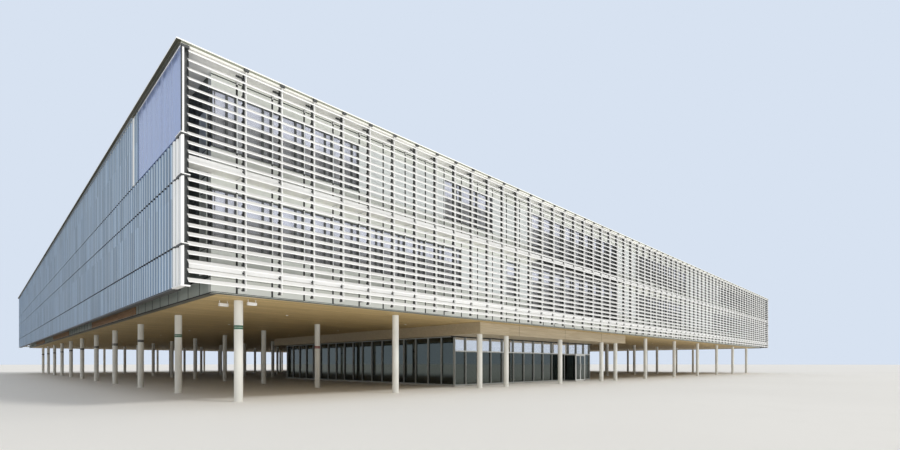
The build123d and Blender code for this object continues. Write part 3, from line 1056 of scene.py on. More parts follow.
@dataclass
class Columns:
    """Round columns that carry the building, and those behind the windows."""

    lines: int = 11
    radius: float = 17.0
    outer_sides: int = 32
    inner_sides: int = 18
    band_low: float = 294.0
    band_high: float = 309.5
    band_gap: float = 1.5
    inner_drop: float = 41.0
    collar_h: float = 3.0
    collar_out: float = 2.0
    collar_rim: float = 1.2
    collar_step: float = 0.8
    pair_lines: tuple[int, int] = (2, 4)
    lobby_floor: float = 8.0
    near: float = 40.0
    upstairs_sides: int = 20
    upstairs_slimmer: float = 2.0
    upstairs_rim: float = 3.0
    ceiling: float = 30.0

    def foot_and_top(self, x: float, y: float) -> tuple[float, float]:
        """Levels between which a column stands.

        Args:
            x: its place along the front.
            y: its place in depth.

        Returns:
            Its foot and its top.
        """
        off = abs(x - PLAN.lobby_x)
        covered = off < PLAN.canopy_half_w and PLAN.canopy_front < y < PLAN.canopy_back
        inside = off < PLAN.lobby_half_w and PLAN.lobby_front < y < PLAN.lobby_back
        return (self.lobby_floor if inside else 0.0, PLAN.canopy_z if covered else PLAN.soffit)

    def places(self) -> tuple[list[tuple[float, float]], list[tuple[float, float]]]:
        """Places of the outer and of the inner columns.

        Returns:
            Both lists of x and y.
        """
        outer, inner = [], []
        rim = (0, self.lines - 1)
        for j in range(self.lines):
            y = -PLAN.grid + j * PLAN.bay
            for i in range(self.lines):
                x = -PLAN.grid + i * PLAN.bay
                if j == 0 and i in self.pair_lines:
                    outer += [(x - PLAN.module, y), (x + PLAN.module, y)]
                elif i in rim or j in rim:
                    outer.append((x, y))
                else:
                    inner.append((x, y))
        return outer, inner

    def ring_levels(self) -> tuple[float, float, float, float]:
        """Find where the two coloured rings lie.

        Returns:
            The levels of their edges, from below.
        """
        middle = (self.band_low + self.band_high) / 2
        half = self.band_gap / 2
        return self.band_low, middle - half, middle + half, self.band_high

    def model(self, foot: float, top: float, sides: int) -> bpy.types.Object:
        """Model one column on the plan's middle.

        Args:
            foot: level of its foot.
            top: level of its top.
            sides: count of its sides.

        Returns:
            The column with a collar at its foot.
        """
        shaft = rod("shaft", (0, 0, foot), self.radius, top - foot, sides)
        drop = self.inner_drop if sides == self.inner_sides else 0.0
        cut(shaft, 2, [level - drop for level in self.ring_levels()])
        collar = rod("collar", (0, 0, foot), self.radius + self.collar_out, self.collar_h, sides)
        inset(collar, Side.ABOVE.faces, self.collar_rim, self.collar_step)
        return join("column", [shaft, collar])

    def stand(self, name: str, places: list[tuple[float, float]], sides: int) -> bpy.types.Object:
        """Stand columns of one group in their places.

        Args:
            name: name of the piece.
            places: x and y of each column.
            sides: count of their sides.

        Returns:
            The columns as one piece.
        """
        made = []
        for levels in sorted({self.foot_and_top(x, y) for x, y in places}):
            spots = [(x, y, 0.0) for x, y in places if self.foot_and_top(x, y) == levels]
            made += place_copies(self.model(*levels, sides), spots)
        piece = join(name, made)
        tidy_mesh(piece, smooth=True)
        return piece

    def in_ring(self, at: Vector, drop: float = 0.0) -> bool:
        """Find the faces of the two coloured rings.

        Args:
            at: middle of the face.
            drop: how much lower the rings sit.

        Returns:
            True for a face of either ring.
        """
        low, low_end, high_start, high = self.ring_levels()
        level = at.z + drop
        return low < level < low_end or high_start < level < high

    def build(self) -> None:
        """Build and dress all columns."""
        outer, inner = self.places()
        ring = self.stand("round_columns_outer", outer, self.outer_sides)
        field = self.stand("round_columns_inner", inner, self.inner_sides)
        for piece, node in ((ring, "outer_columns"), (field, "inner_columns")):
            Look.COLUMN.paint(piece)
            deliver(piece, "column_paint", node)
        self.paint_rings(ring, field)
        self.behind_windows(outer)

    def paint_rings(self, ring: bpy.types.Object, field: bpy.types.Object) -> None:
        """Paint the coloured rings that show on a few columns.

        Args:
            ring: the outer columns.
            field: the inner columns.
        """
        near, next_in = self.near, PLAN.bay - PLAN.grid
        first_line = near - PLAN.grid
        Look.DARK_STEEL.paint_part(ring, lambda at, way: (
            self.in_ring(at) and at.x < first_line and at.y > next_in + near))
        Look.BAND_GREEN.paint_part(ring, lambda at, way: (
            self.in_ring(at) and at.x < first_line and at.y < next_in + near))
        Look.BAND_RED.paint_part(field, lambda at, way: (
            self.in_ring(at, self.inner_drop)
            and abs(at.x - next_in) < near and abs(at.y - next_in) < near))

    def behind_windows(self, outer: list[tuple[float, float]]) -> None:
        """Carry the edge columns on through both storeys.

        Args:
            outer: places of the columns round the edge.
        """
        made = []
        radius = self.radius - self.upstairs_slimmer
        for low, high in ((PLAN.floor_1, PLAN.floor_2 - self.ceiling), (PLAN.floor_2, PLAN.roof)):
            first = rod("upper", (0, 0, low), radius, high - low, self.upstairs_sides)
            inset(first, lambda at, way: abs(way.z) > SQUARE, self.upstairs_rim, 0.0)
            made += place_copies(first, [(x, y, 0.0) for x, y in outer])
        piece = join("round_columns_upstairs", made)
        tidy_mesh(piece, smooth=True)
        Look.COLUMN.paint(piece)
        deliver(piece, "column_paint")


@dataclass
class FlutedScreens:
    """Fluted sheets on both ends, in rows that stand on dark rails."""

    pitch: float = 37.0
    depth: float = 8.0
    crest: float = 12.0
    slope: float = 6.0
    sheet_t: float = 1.4
    rows: tuple[tuple[float, float], ...] = (
        (414, 545), (552, 772), (779, 907), (PLAN.glass_foot, PLAN.roof))
    corner_sheet: float = 88.0
    edge_y: float = 4292.0
    strip: tuple[float, float] = (-3715.0, -3649.0)
    top_start: float = -3619.0
    profile: Stock = Stock((0.0, 0.0, 0.0), (8.0, 0.0, 0.0))
    profile_rim: float = 8.0
    profile_dip: float = 4.8

    def sheet(self, y0: float, y1: float, z0: float, z1: float) -> bpy.types.Object:
        """Fold one row of flutes on the left side.

        Args:
            y0: where the row starts.
            y1: where it ends.
            z0: its foot.
            z1: its top.

        Returns:
            The row as a closed sheet.
        """
        count = max(1, round((y1 - y0) / self.pitch))
        pitch = (y1 - y0) / count
        valley = pitch - self.crest - 2 * self.slope
        face = -PLAN.screen_x + self.sheet_t / 2
        back = self.depth - self.sheet_t
        hold()
        bpy.ops.mesh.primitive_plane_add(
            size=1.0, location=(face * MM, (y0 + self.crest / 2) * MM, (z0 + z1) / 2 * MM),
            rotation=(0.0, math.pi / 2, 0.0))
        piece = bpy.context.object
        piece.scale = ((z1 - z0) * MM, self.crest * MM, 1.0)
        settle(piece)
        end = y0 + self.crest
        for inwards, onwards in ((back, self.slope), (0.0, valley), (-back, self.slope)):
            self.fold_on(piece, end, inwards, onwards)
            end += onwards
        repeat(piece, count, (0.0, pitch, 0.0))
        tidy_mesh(piece, merge=True)
        thick = piece.modifiers.new("sheet", "SOLIDIFY")
        thick.thickness = self.sheet_t * MM
        thick.offset = 0.0
        thick.use_even_offset = True
        bpy.ops.object.modifier_apply(modifier=thick.name)
        return piece

    @staticmethod
    def fold_on(piece: bpy.types.Object, end: float, inwards: float, onwards: float) -> None:
        """Draw the last upright edge of a sheet on to the next fold.

        Args:
            piece: the sheet so far.
            end: where its last edge lies.
            inwards: how far the next fold lies towards the building.
            onwards: how far it lies towards the back.
        """
        pick_edges(piece, lambda at, run: abs(at.y - end) < CLOSE and abs(run.y) < CLOSE)
        bpy.ops.mesh.extrude_region_move(
            TRANSFORM_OT_translate={"value": (inwards * MM, onwards * MM, 0.0)})
        close_edit()

    def build(self) -> None:
        """Build and dress both screens."""
        edge = self.edge_y
        lower = [self.sheet(-edge, edge, z0, z1) for z0, z1 in self.rows[:-1]]
        z0, z1 = self.rows[-1]
        whole = self.sheet(-edge, edge, z0, z1)
        right = join("right_fluted_sheets", [across(row, "row", 0) for row in (*lower, whole)])
        bpy.data.objects.remove(whole)
        top = [self.sheet(self.top_start, edge, z0, z1), self.sheet(*self.strip, z0, z1)]
        left = join("left_fluted_sheets", lower + top)
        for piece, node in ((left, "left_screen_panels"), (right, "right_screen_panels")):
            tidy_mesh(piece)
            Look.FLUTED.paint(piece)
            Look.FLUTED_PALE.paint_part(piece, self.at_corner)
            deliver(piece, "fluted_metal", node)
        self.closing_profile()

    def closing_profile(self) -> None:
        """Close the sheets beside the corner glass with a pale channel."""
        x, (z0, z1) = -PLAN.screen_x, self.rows[-1]
        profile = self.profile.reach(
            "left_closing_profile", (x, self.strip[1], z0), (x, self.top_start, z1))
        inset(profile, Side.LEFT.faces, self.profile_rim, -self.profile_dip)
        Look.FLUTED_PALE.paint(profile)
        deliver(profile, "louvre_metal")

    def at_corner(self, at: Vector, way: Vector) -> bool:
        """True for the pale last sheet before each front corner."""
        return at.y < -self.edge_y + self.corner_sheet and at.z < self.rows[-1][0]


@dataclass
class Louvres:
    """Blades, hooks and small steel of the louvred long sides."""

    end_x: float = 4306.5
    blade_0: float = 423.7
    pitch: float = 30.3
    count: int = 26
    rise: float = 18.0
    nose_h: float = 3.4
    nose_t: float = 1.5
    rounding: float = 0.9
    cheek: Stock = Stock((-5.0, 1.0, -9.0), (-2.5, 11.0, 13.0))
    stub_top: float = -4.0
    stub_reach: Point = (-4.0, -2.0, 1.5)
    flange: Stock = Stock((-1.3, -10.0, 416.0), (1.3, 0.0, PLAN.roof - 1))
    flange_nose: float = 1.0
    head: Stock = Stock((-8.5, 0.5, 1199.0), (8.5, 8.0, 1208.0), WIDE_EDGE)
    box: Stock = Stock((-31.0, 1.0, 1177.0), (-9.0, 7.0, 1183.0), 1.0)
    brace: Stock = Stock((-2.0, 0.0, 432.0), (2.0, 0.0, 440.0), SOFT_EDGE)
    brace_every: int = 4
    walkways: tuple[float, float] = (480.0, 840.0)
    channel: Stock = Stock((0.0, 2.0, -5.0), (0.0, 14.0, -1.0))
    kerb: float = 11.0
    kerb_depth: float = 5.0
    arm: Stock = Stock((-1.5, 0.0, 829.0), (1.5, 0.0, 835.0), SOFT_EDGE)

    def along(self, piece: bpy.types.Object) -> bpy.types.Object:
        """Repeat a piece at every post line."""
        return repeat(piece, PLAN.seams(), (PLAN.module, 0.0, 0.0))

    def blades(self) -> bpy.types.Object:
        """Draw the sloping blades back and up from their front edge, and round them.

        Returns:
            The blades of the front.
        """
        front, back, z = -PLAN.louvre_y, -PLAN.post_front, self.blade_0
        piece = bar("front_blades", (-self.end_x, front, z),
                    (self.end_x, front + self.nose_t, z + self.nose_h))
        depth = back - front - self.nose_t
        extrude(piece, Side.BACK.faces, (0.0, depth, self.rise - self.nose_h))
        pick_edges(piece, lambda at, run: abs(run.x) > LONG and (
            abs(at.y - front) < CLOSE or abs(at.y - back) < CLOSE))
        bpy.ops.mesh.bevel(offset=self.rounding * MM, segments=2, affect="EDGES")
        close_edit()
        repeat(piece, self.count, (0.0, 0.0, self.pitch))
        tidy_mesh(piece)
        return piece

    def hooks(self) -> bpy.types.Object:
        """Make the dark cheeks and stubs that hold each blade to each post.

        Returns:
            Those of the front.
        """
        piece = self.cheek.set_at(
            "front_blade_hooks", PLAN.first_seam(), -PLAN.post_front, self.blade_0)
        stub_z = self.blade_0 + self.stub_top
        cut(piece, 2, (stub_z,))
        extrude(piece, lambda at, way: Side.LEFT.faces(at, way) and at.z < stub_z, self.stub_reach)
        repeat(piece, self.count, (0.0, 0.0, self.pitch))
        return self.along(piece)

    def flanges(self) -> bpy.types.Object:
        """Make the pale strips in front of the posts, notched into the blades.

        Returns:
            Those of the front.
        """
        strip = self.flange.set_at("front_post_flanges", PLAN.first_seam(), -PLAN.post_front)
        extrude(strip, Side.FRONT.faces, (0.0, -self.flange_nose, 0.0))
        return self.along(strip)

    def steelwork(self) -> bpy.types.Object:
        """Make the post heads, lower braces and small boxes at the top blade.

        Returns:
            Those of the front as one piece.
        """
        x = PLAN.first_seam()
        head = self.head.set_at("head", x, -PLAN.louvre_y)
        box = self.box.set_at("box", x, -PLAN.post_front)
        made = [self.along(piece) for piece in (head, box)]
        brace = self.brace.reach("brace", (x, -PLAN.post_back, 0.0), (x, -PLAN.wall_y, 0.0))
        braces = (PLAN.seams() + self.brace_every - 1) // self.brace_every
        made.append(repeat(brace, braces, (self.brace_every * PLAN.module, 0.0, 0.0)))
        return join("front_louvre_steel", made)

    def walkway_edges(self) -> bpy.types.Object:
        """Carry the walkways out between the posts with edge channels.

        Returns:
            The channels and their arms as one piece.
        """
        made = []
        x, front = PLAN.first_seam(), -PLAN.post_front
        kerb_back = front + self.kerb_depth
        for top in self.walkways:
            edge = self.channel.reach("edge", (-self.end_x, front, top), (self.end_x, front, top))
            cut(edge, 1, (kerb_back,))
            extrude(edge, lambda at, way: Side.ABOVE.faces(at, way) and at.y < kerb_back,
                    (0.0, 0.0, self.kerb))
            made.append(edge)
        arm = self.arm.reach("arm", (x, -PLAN.post_back, 0.0), (x, -PLAN.wall_y, 0.0))
        return join("front_walkway_edges", [*made, self.along(arm)])

    def build(self) -> None:
        """Build and dress both long sides."""
        blades = ("front_louvre_blades", "back_louvre_blades")
        kinds = (
            (self.blades(), Look.WHITE_METAL, "louvre_metal", blades),
            (self.hooks(), Look.DARK_STEEL, "rail_metal", ()),
            (self.flanges(), Look.WHITE_METAL, "louvre_metal", ()),
            (self.steelwork(), Look.DARK_STEEL, "rail_metal", ()),
            (self.walkway_edges(), Look.WHITE_METAL, "louvre_metal", ()),
        )
        for front, look, slot, nodes in kinds:
            deliver_both(front, look, slot, 1, nodes)


@dataclass
class LongWalls:
    """Joints, sills and window frames of the front and back walls."""

    first_floor: tuple[tuple[float, float], ...] = (
        (-31.12, -21.5), (-18.5, -17.5), (-16.5, -7.5), (-4.5, 4.5), (12.5, 28.5))
    second_floor: tuple[tuple[float, float], ...] = (
        (-31.12, -26.5), (-22.5, -19.5), (-16.5, -7.5), (-4.5, 5.5), (14.5, 27.5))
    full_height: tuple[float, float] = (-16.5, -7.5)
    seam: Stock = Stock((-3.6, -0.7, 413.0), (3.6, 3.0, PLAN.roof), HAIR_EDGE)
    joint: Stock = Stock((0.0, -0.5, 0.0), (0.0, 2.0, 0.0), HAIR_EDGE)
    level_joints: tuple[tuple[float, float], ...] = (
        (413.5, 1.8), (466.0, 1.6), (565.0, 2.0), (1192.0, 4.0))
    # Painted shade: a near-black band on the wall and a thin dark plate below the walkway stand for
    # the shadow at slab level over the full-height windows.
    slab_joint: tuple[float, float] = (822.0, 8.0)
    lining: Stock = Stock((0.0, -58.0, 828.6), (0.0, 0.0, 830.2), HAIR_EDGE)
    mullion: Stock = Stock((-4.0, 1.5, 0.0), (-1.5, 16.0, 0.0))
    mullion_nose: float = 2.0
    stile: Stock = Stock((-36.0, 4.0, 0.0), (-30.0, 16.0, 0.0), FINE_EDGE)
    rail: Stock = Stock((0.0, 5.0, 0.0), (0.0, 16.0, 4.0), FINE_EDGE)
    tray: Stock = Stock((0.0, -3.0, -2.0), (0.0, 14.0, 1.5), FINE_EDGE)
    low_sill: float = 2.0
    bead: Stock = Stock((-1.5, -2.0, 2.0), (3.5, 12.0, 210.0), THIN_EDGE)
    slat: Stock = Stock((0.0, 22.0, -5.0), (0.0, 23.0, -1.2))
    slat_fold: Point = (0.0, 2.0, -1.2)
    slat_pitch: float = 5.0
    blind_slats: int = 17
    drip: Stock = Stock((0.0, -1.5, 407.5), (0.0, 6.0, 411.0))
    drip_lip: float = 2.0

    def groups(self) -> Iterator[tuple[float, float, float]]:
        """Go through the groups of windows on both floors.

        Returns:
            Each one's left and right edge in modules, and its sill's level.
        """
        for groups, floor in ((self.first_floor, PLAN.floor_1), (self.second_floor, PLAN.floor_2)):
            for start, end in groups:
                yield start, end, floor + PLAN.sill

    @staticmethod
    def mullion_line(start: float, end: float) -> tuple[float, int]:
        """Place of the first mullion of a group of windows, and how many it has."""
        first = math.ceil(start - 0.5) + 0.5
        return first * PLAN.module, int(end - first) + 1

    def joints(self) -> bpy.types.Object:
        """Make the upright seams on the module lines, the level joints, and the painted shade at
        slab level.

        Returns:
            The joints of the front as one piece.
        """
        y = -PLAN.wall_y
        seam = self.seam.set_at("seam", PLAN.first_seam(), y)
        repeat(seam, PLAN.seams(), (PLAN.module, 0.0, 0.0))
        made = [seam]
        for z, high in self.level_joints:
            made.append(self.joint.reach("joint", (-PLAN.wall_x, y, z), (PLAN.wall_x, y, z + high)))
        start, end = (at * PLAN.module for at in self.full_height)
        # Painted shade at slab level over the full-height windows.
        z, high = self.slab_joint
        made.append(self.joint.reach("slab joint", (start, y, z), (end, y, z + high)))
        made.append(self.lining.reach("slab lining", (start, y, 0.0), (end, y, 0.0)))
        return join("front_wall_joints", made)

    def window(self, start: float, end: float, sill: float, head: float) -> list[bpy.types.Object]:
        """Frame one group of windows.

        Args:
            start: its left edge in modules.
            end: its right edge in modules.
            sill: level of its sill.
            head: level of its head.

        Returns:
            Its mullions, rails and sill.
        """
        y = -PLAN.wall_y
        x, count = self.mullion_line(start, end)
        x0, x1 = start * PLAN.module, end * PLAN.module
        mullion = self.mullion.reach("mullion", (x, y, sill), (x, y, head))
        extrude(mullion, Side.FRONT.faces, (0.0, -self.mullion_nose, 0.0))
        stile = self.stile.reach("stile", (x, y, sill), (x, y, head))
        for upright in (mullion, stile):
            repeat(upright, count, (PLAN.module, 0.0, 0.0))
        rails = [self.rail.reach("rail", (x0, y, z), (x1, y, z))
                 for z in (sill, head - self.rail.high[2])]
        tray = self.tray.reach("sill", (x0, y, sill), (x1, y, sill))
        return [mullion, stile, *rails, tray]

    def frames(self) -> bpy.types.Object:
        """Frame every group of windows, also over the full height.

        Returns:
            The frames of the front as one piece.
        """
        made = []
        for start, end, sill in self.groups():
            made += self.window(start, end, sill, sill + PLAN.window_h)
        for floor in (PLAN.floor_1, PLAN.floor_2):
            made += self.window(*self.full_height, floor + self.low_sill, floor + PLAN.sill)
        return join("front_window_frames", made)

    def beads(self) -> bpy.types.Object:
        """Set pale glazing beads beside the mullions.

        Returns:
            The beads of the front as one piece.
        """
        made = []
        for start, end, sill in self.groups():
            x, count = self.mullion_line(start, end)
            bead = self.bead.set_at("bead", x, -PLAN.wall_y, sill)
            made.append(repeat(bead, count, (PLAN.module, 0.0, 0.0)))
        return join("front_window_beads", made)

    def blinds(self) -> bpy.types.Object:
        """Let slatted blinds down behind the upper part of the windows.

        Returns:
            The blinds of the front as one piece.
        """
        made = []
        y = -PLAN.wall_y
        for start, end, sill in self.groups():
            head = sill + PLAN.window_h
            slat = self.slat.reach(
                "slat", (start * PLAN.module, y, head), (end * PLAN.module, y, head))
            extrude(slat, Side.BACK.faces, self.slat_fold)
            made.append(repeat(slat, self.blind_slats, (0.0, 0.0, -self.slat_pitch)))
        return join("front_blinds", made)

    def foot_trim(self) -> bpy.types.Object:
        """Run a pale drip edge along the foot of the wall.

        Returns:
            The edge on the front.
        """
        y = -PLAN.wall_y
        drip = self.drip.reach("front_drip_edge", (-PLAN.wall_x, y, 0.0), (PLAN.wall_x, y, 0.0))
        cut(drip, 1, (y,))
        extrude(drip, lambda at, way: Side.ABOVE.faces(at, way) and at.y < y,
                (0.0, 0.0, self.drip_lip))
        return drip

    def build(self) -> None:
        """Build and dress both walls."""
        kinds = (
            (self.joints(), Look.SEALANT, "rail_metal"),
            (self.frames(), Look.FRAME, "frame_metal"),
            (self.beads(), Look.PORCH, "louvre_metal"),
            (self.blinds(), Look.BLIND, "wall_panel"),
            (self.foot_trim(), Look.BASE_ZINC, "zinc"),
        )
        for front, look, slot in kinds:
            deliver_both(front, look, slot, 1)


@dataclass
class EndWalls:
    """Mullions, base joints and slats of the walls behind the fluted screens."""

    half_run: float = 4160.0
    mullion: Stock = Stock((2.0, -1.8, 0.0), (16.0, 1.8, 0.0))
    mullion_nose: float = 3.0
    rail: Stock = Stock((-1.5, -4200.0, 0.0), (15.0, 4200.0, 4.0), FINE_EDGE)
    rail_foot: float = -1.0
    rail_head: float = -3.0
    joint: Stock = Stock((-1.0, -1.5, 412.0), (2.0, 1.5, 467.0), HAIR_EDGE)
    joint_0: float = -4086.0
    joints: int = 61
    foot: Stock = Stock((-2.0, -4205.0, 409.0), (3.0, 4205.0, 412.0), SOFT_EDGE)
    top: Stock = Stock((-3.0, -4205.0, 465.0), (3.0, 4205.0, 469.0), WIDE_EDGE)
    slats: tuple[tuple[float, float], ...] = ((-3084, -1744), (-504, 756), (1696, 2896))
    slat: Stock = Stock((-5.0, 0.0, 414.0), (-0.5, 0.0, 422.6), WIDE_EDGE)
    slat_pitch: float = 10.2
    slat_count: int = 5
    pier: Stock = Stock((-1.5, -4162.0, 0.0), (3.0, -4101.0, 0.0))
    pier_rim: float = 1.5
    pier_dip: float = 0.5
    pier_trim: Stock = Stock((-2.0, -4096.0, 0.0), (3.0, -4087.0, 0.0), SOFT_EDGE)
    pier_head: float = 1090.0
    pier_gap: float = 8.0

    def mullions(self) -> bpy.types.Object:
        """Set mullions at half-modules on both floors, with rails.

        Returns:
            The mullions and rails of the left wall as one piece.
        """
        face = -PLAN.wall_x
        step = PLAN.module / 2
        count = 2 * int(self.half_run / step) + 1
        y = -(count - 1) / 2 * step
        made = []
        for floor in (PLAN.floor_1, PLAN.floor_2):
            z0, z1 = floor + PLAN.sill, floor + PLAN.sill + PLAN.window_h
            piece = self.mullion.reach("mullion", (face, y, z0), (face, y, z1))
            extrude(piece, Side.LEFT.faces, (-self.mullion_nose, 0.0, 0.0))
            made.append(repeat(piece, count, (0.0, step, 0.0)))
            made += [self.rail.set_at("rail", face, z=z)
                     for z in (z0 + self.rail_foot, z1 + self.rail_head)]
        return join("left_wall_mullions", made)

    def base_trim(self) -> bpy.types.Object:
        """Make the upright joints and the trims of the base course.

        Returns:
            Those of the left wall as one piece.
        """
        face = -PLAN.wall_x
        joint = self.joint.set_at("joint", face, self.joint_0)
        repeat(joint, self.joints, (0.0, PLAN.module, 0.0))
        trims = [stock.set_at("trim", face) for stock in (self.foot, self.top)]
        return join("left_base_trim", [joint, *trims])

    def corner_piers(self) -> bpy.types.Object:
        """Clad the piers beside both corners, with a pale edge trim.

        Returns:
            The piers of the left wall as one piece.
        """
        x = -PLAN.wall_x
        made = []
        for floor, above in ((PLAN.floor_1, PLAN.floor_2), (PLAN.floor_2, self.pier_head)):
            high = above - self.pier_gap
            pier = self.pier.reach("pier", (x, 0.0, floor), (x, 0.0, high))
            inset(pier, Side.LEFT.faces, self.pier_rim, -self.pier_dip)
            trim = self.pier_trim.reach("trim", (x, 0.0, floor), (x, 0.0, high))
            made += [pier, trim, across(pier, "far pier", 1), across(trim, "far trim", 1)]
        return join("left_corner_piers", made)

    def slat_fields(self) -> bpy.types.Object:
        """Lay level timber boards on stretches of the base course.

        Returns:
            The boards of the left wall as one piece.
        """
        x = -PLAN.wall_x
        made = []
        for y0, y1 in self.slats:
            slat = self.slat.reach("slat", (x, y0, 0.0), (x, y1, 0.0))
            made.append(repeat(slat, self.slat_count, (0.0, 0.0, self.slat_pitch)))
        return join("left_base_slats", made)

    def build(self) -> None:
        """Build and dress both end walls."""
        kinds = (
            (self.mullions(), Look.FRAME, "frame_metal"),
            (self.base_trim(), Look.SEALANT, "zinc"),
            (self.slat_fields(), Look.SLATS, "timber"),
            (self.corner_piers(), Look.SPANDREL, "zinc"),
        )
        for left, look, slot in kinds:
            deliver_both(left, look, slot, 0)


@dataclass
class Corners:
    """Trims where each fluted screen meets the end of the louvres.

    Each is measured from the corner, and those at the joints also from the joint's level.
    """

    levels: tuple[float, ...] = (547.0, 774.0, 909.0)
    wrap: Stock = Stock((-2.5, 0.5, 2.0), (2.0, 62.0, 4.5), SOFT_EDGE)
    tie: Stock = Stock((0.0, 0.5, 1.5), (27.0, 9.0, 5.0), SOFT_EDGE)
    tall_bar: Stock = Stock((3.0, 2.2, 413.0), (8.5, 12.0, PLAN.roof), SOFT_EDGE)
    low_bar: Stock = Stock((0.0, 2.2, 413.0), (3.0, 12.0, PLAN.glass_foot), THIN_EDGE)
    side_lip: Stock = Stock((-3.0, 0.5, 409.0), (16.0, 100.0, 414.0), WIDE_EDGE)
    front_lip: Stock = Stock((10.0, 0.5, 409.0), (27.0, 12.0, 414.0), WIDE_EDGE)
    side_cleat: Stock = Stock((-2.0, 1.0, -6.0), (4.0, 56.0, 1.8), SOFT_EDGE)
    front_cleat: Stock = Stock((2.0, 1.0, -4.0), (25.0, 10.0, 1.4), SOFT_EDGE)
    # The trough under the screen is dark as painted shade of the gap there; the recess is a dark
    # plate of painted shade in the gap beside the bar.
    trough: Stock = Stock((3.0, 100.0, 407.0), (26.0, PLAN.louvre_y, 413.5), WIDE_EDGE)
    recess: Stock = Stock((8.6, 14.0, 413.0), (20.0, 16.0, PLAN.roof), THIN_EDGE)
    glass_edge: Stock = Stock((0.2, 3.0, PLAN.glass_foot), (2.8, 12.0, PLAN.roof), HAIR_EDGE)
    cap: Stock = Stock((0.0, 0.6, 1191.0), (24.0, 12.0, PLAN.roof - 0.2), THIN_EDGE)

    def group(self, name: str, at_joints: Sequence[Stock],
              once: Sequence[Stock]) -> bpy.types.Object:
        """Set trims of one finish at the near left corner.

        Args:
            name: name of the group.
            at_joints: trims that come at each joint of the screen.
            once: trims that come once.

        Returns:
            The trims as one piece.
        """
        corner = (-PLAN.screen_x, -PLAN.louvre_y)
        made = [stock.set_at("trim", *corner, z) for z in self.levels for stock in at_joints]
        made += [stock.set_at("trim", *corner) for stock in once]
        return join(name, made)

    def plates(self) -> bpy.types.Object:
        """Pale plates that wrap the corner at the joints of the screen, and at its foot."""
        return self.group("plates", (self.wrap, self.tie),
                          (self.tall_bar, self.low_bar, self.side_lip, self.front_lip))

    def cleats(self) -> bpy.types.Object:
        """Dark cleats below the plates, and painted shade: a dark plate in the recess beside the
        bar and a dark trough under the screen.
        """
        return self.group("cleats", (self.side_cleat, self.front_cleat),
                          (self.trough, self.recess, self.glass_edge, self.cap))

    def build(self) -> None:
        """Build and dress the trims of all four corners."""
        bars = ("corner_bars", "corner_bars")
        for near, look, slot, nodes in (
                (self.plates(), Look.WHITE_METAL, "louvre_metal", bars),
                (self.cleats(), Look.DARK_STEEL, "rail_metal", ())):
            kind = near.name
            left = join(f"left_corner_{kind}", [near, across(near, "far", 1)])
            deliver_both(left, look, slot, 0, nodes)


@dataclass
class Soffit:
    """Timber boards under the building, with its lamps."""

    edge: float = 4177.0
    boards: int = 696
    gap: float = 1.4
    board_t: float = 4.0
    backing: Stock = Stock((0.0, 0.0, 0.0), (0.0, 0.0, 2.0), THIN_EDGE)
    chamfer: float = 0.8
    lamp_bays: int = 10
    lamp_r: float = 6.5
    lamp_h: float = 3.0
    lamp_drop: float = 2.5
    lamp_rim: float = 1.5
    lamp_dip: float = 1.0
    lamp_sides: int = 20
    flood_spots: tuple[tuple[float, float], ...] = ((-4092.0, -4004.0), (-4022.0, -4114.0))
    flood: Stock = Stock((-18.0, -7.0, 388.0), (18.0, 7.0, 400.0), 1.2)
    flood_rim: float = 2.0
    flood_dip: float = 1.5
    stem: Stock = Stock((-1.0, -1.0, 399.0), (1.0, 1.0, 410.0), HAIR_EDGE)
    stem_out: float = 15.0

    def boarding(self) -> None:
        """Lay the boards under a thin backing."""
        edge, foot, top = self.edge, PLAN.soffit, PLAN.soffit + self.board_t
        pitch = 2 * edge / self.boards
        board = bar("board", (-edge, -edge, foot), (edge, -edge + pitch - self.gap, top))
        pick_edges(board, lambda at, run: abs(run.x) > LONG and at.z < foot + CLOSE)
        bpy.ops.mesh.bevel(offset=self.chamfer * MM, segments=1, affect="EDGES")
        close_edit()
        repeat(board, self.boards, (0.0, pitch, 0.0))
        backing = self.backing.reach("backing", (-edge, -edge, top), (edge, edge, top))
        piece = join("soffit_boarding", [board, backing])
        Look.SOFFIT.paint(piece)
        Look.SEALANT.paint_part(piece, lambda at, way: at.z > top - CLOSE)
        deliver(piece, "timber", "soffit_boards")

    def lamps(self) -> None:
        """Set a round lamp in the middle of each bay."""
        foot = PLAN.soffit - self.lamp_drop
        ring = rod("lamp", (0, 0, foot), self.lamp_r, self.lamp_h, self.lamp_sides)
        inset(ring, Side.BELOW.faces, self.lamp_rim, -self.lamp_dip)
        middles = [-PLAN.grid + (i + 0.5) * PLAN.bay for i in range(self.lamp_bays)]
        spots = [(x, y, 0.0) for x in middles for y in middles
                 if abs(x - PLAN.lobby_x) >= PLAN.canopy_half_w or y >= PLAN.canopy_back]
        piece = join("soffit_lamps", place_copies(ring, spots))
        tidy_mesh(piece, smooth=True)
        Look.LAMP.paint(piece)
        Look.LENS.paint_part(
            piece, lambda at, way: Side.BELOW.faces(at, way) and at.z > foot + CLOSE)
        deliver(piece, "column_paint")

    def floodlights(self) -> None:
        """Hang two floodlights beside the near corner column."""
        made = []
        for x, y in self.flood_spots:
            body = self.flood.set_at("flood", x, y)
            inset(body, Side.BELOW.faces, self.flood_rim, -self.flood_dip)
            stems = [self.stem.set_at("stem", x + out, y)
                     for out in (-self.stem_out, self.stem_out)]
            made += [body, *stems]
        piece = join("floodlights", made)
        Look.LAMP.paint(piece)
        deliver(piece, "column_paint")

    def build(self) -> None:
        """Build and dress the soffit."""
        self.boarding()
        self.lamps()
        self.floodlights()


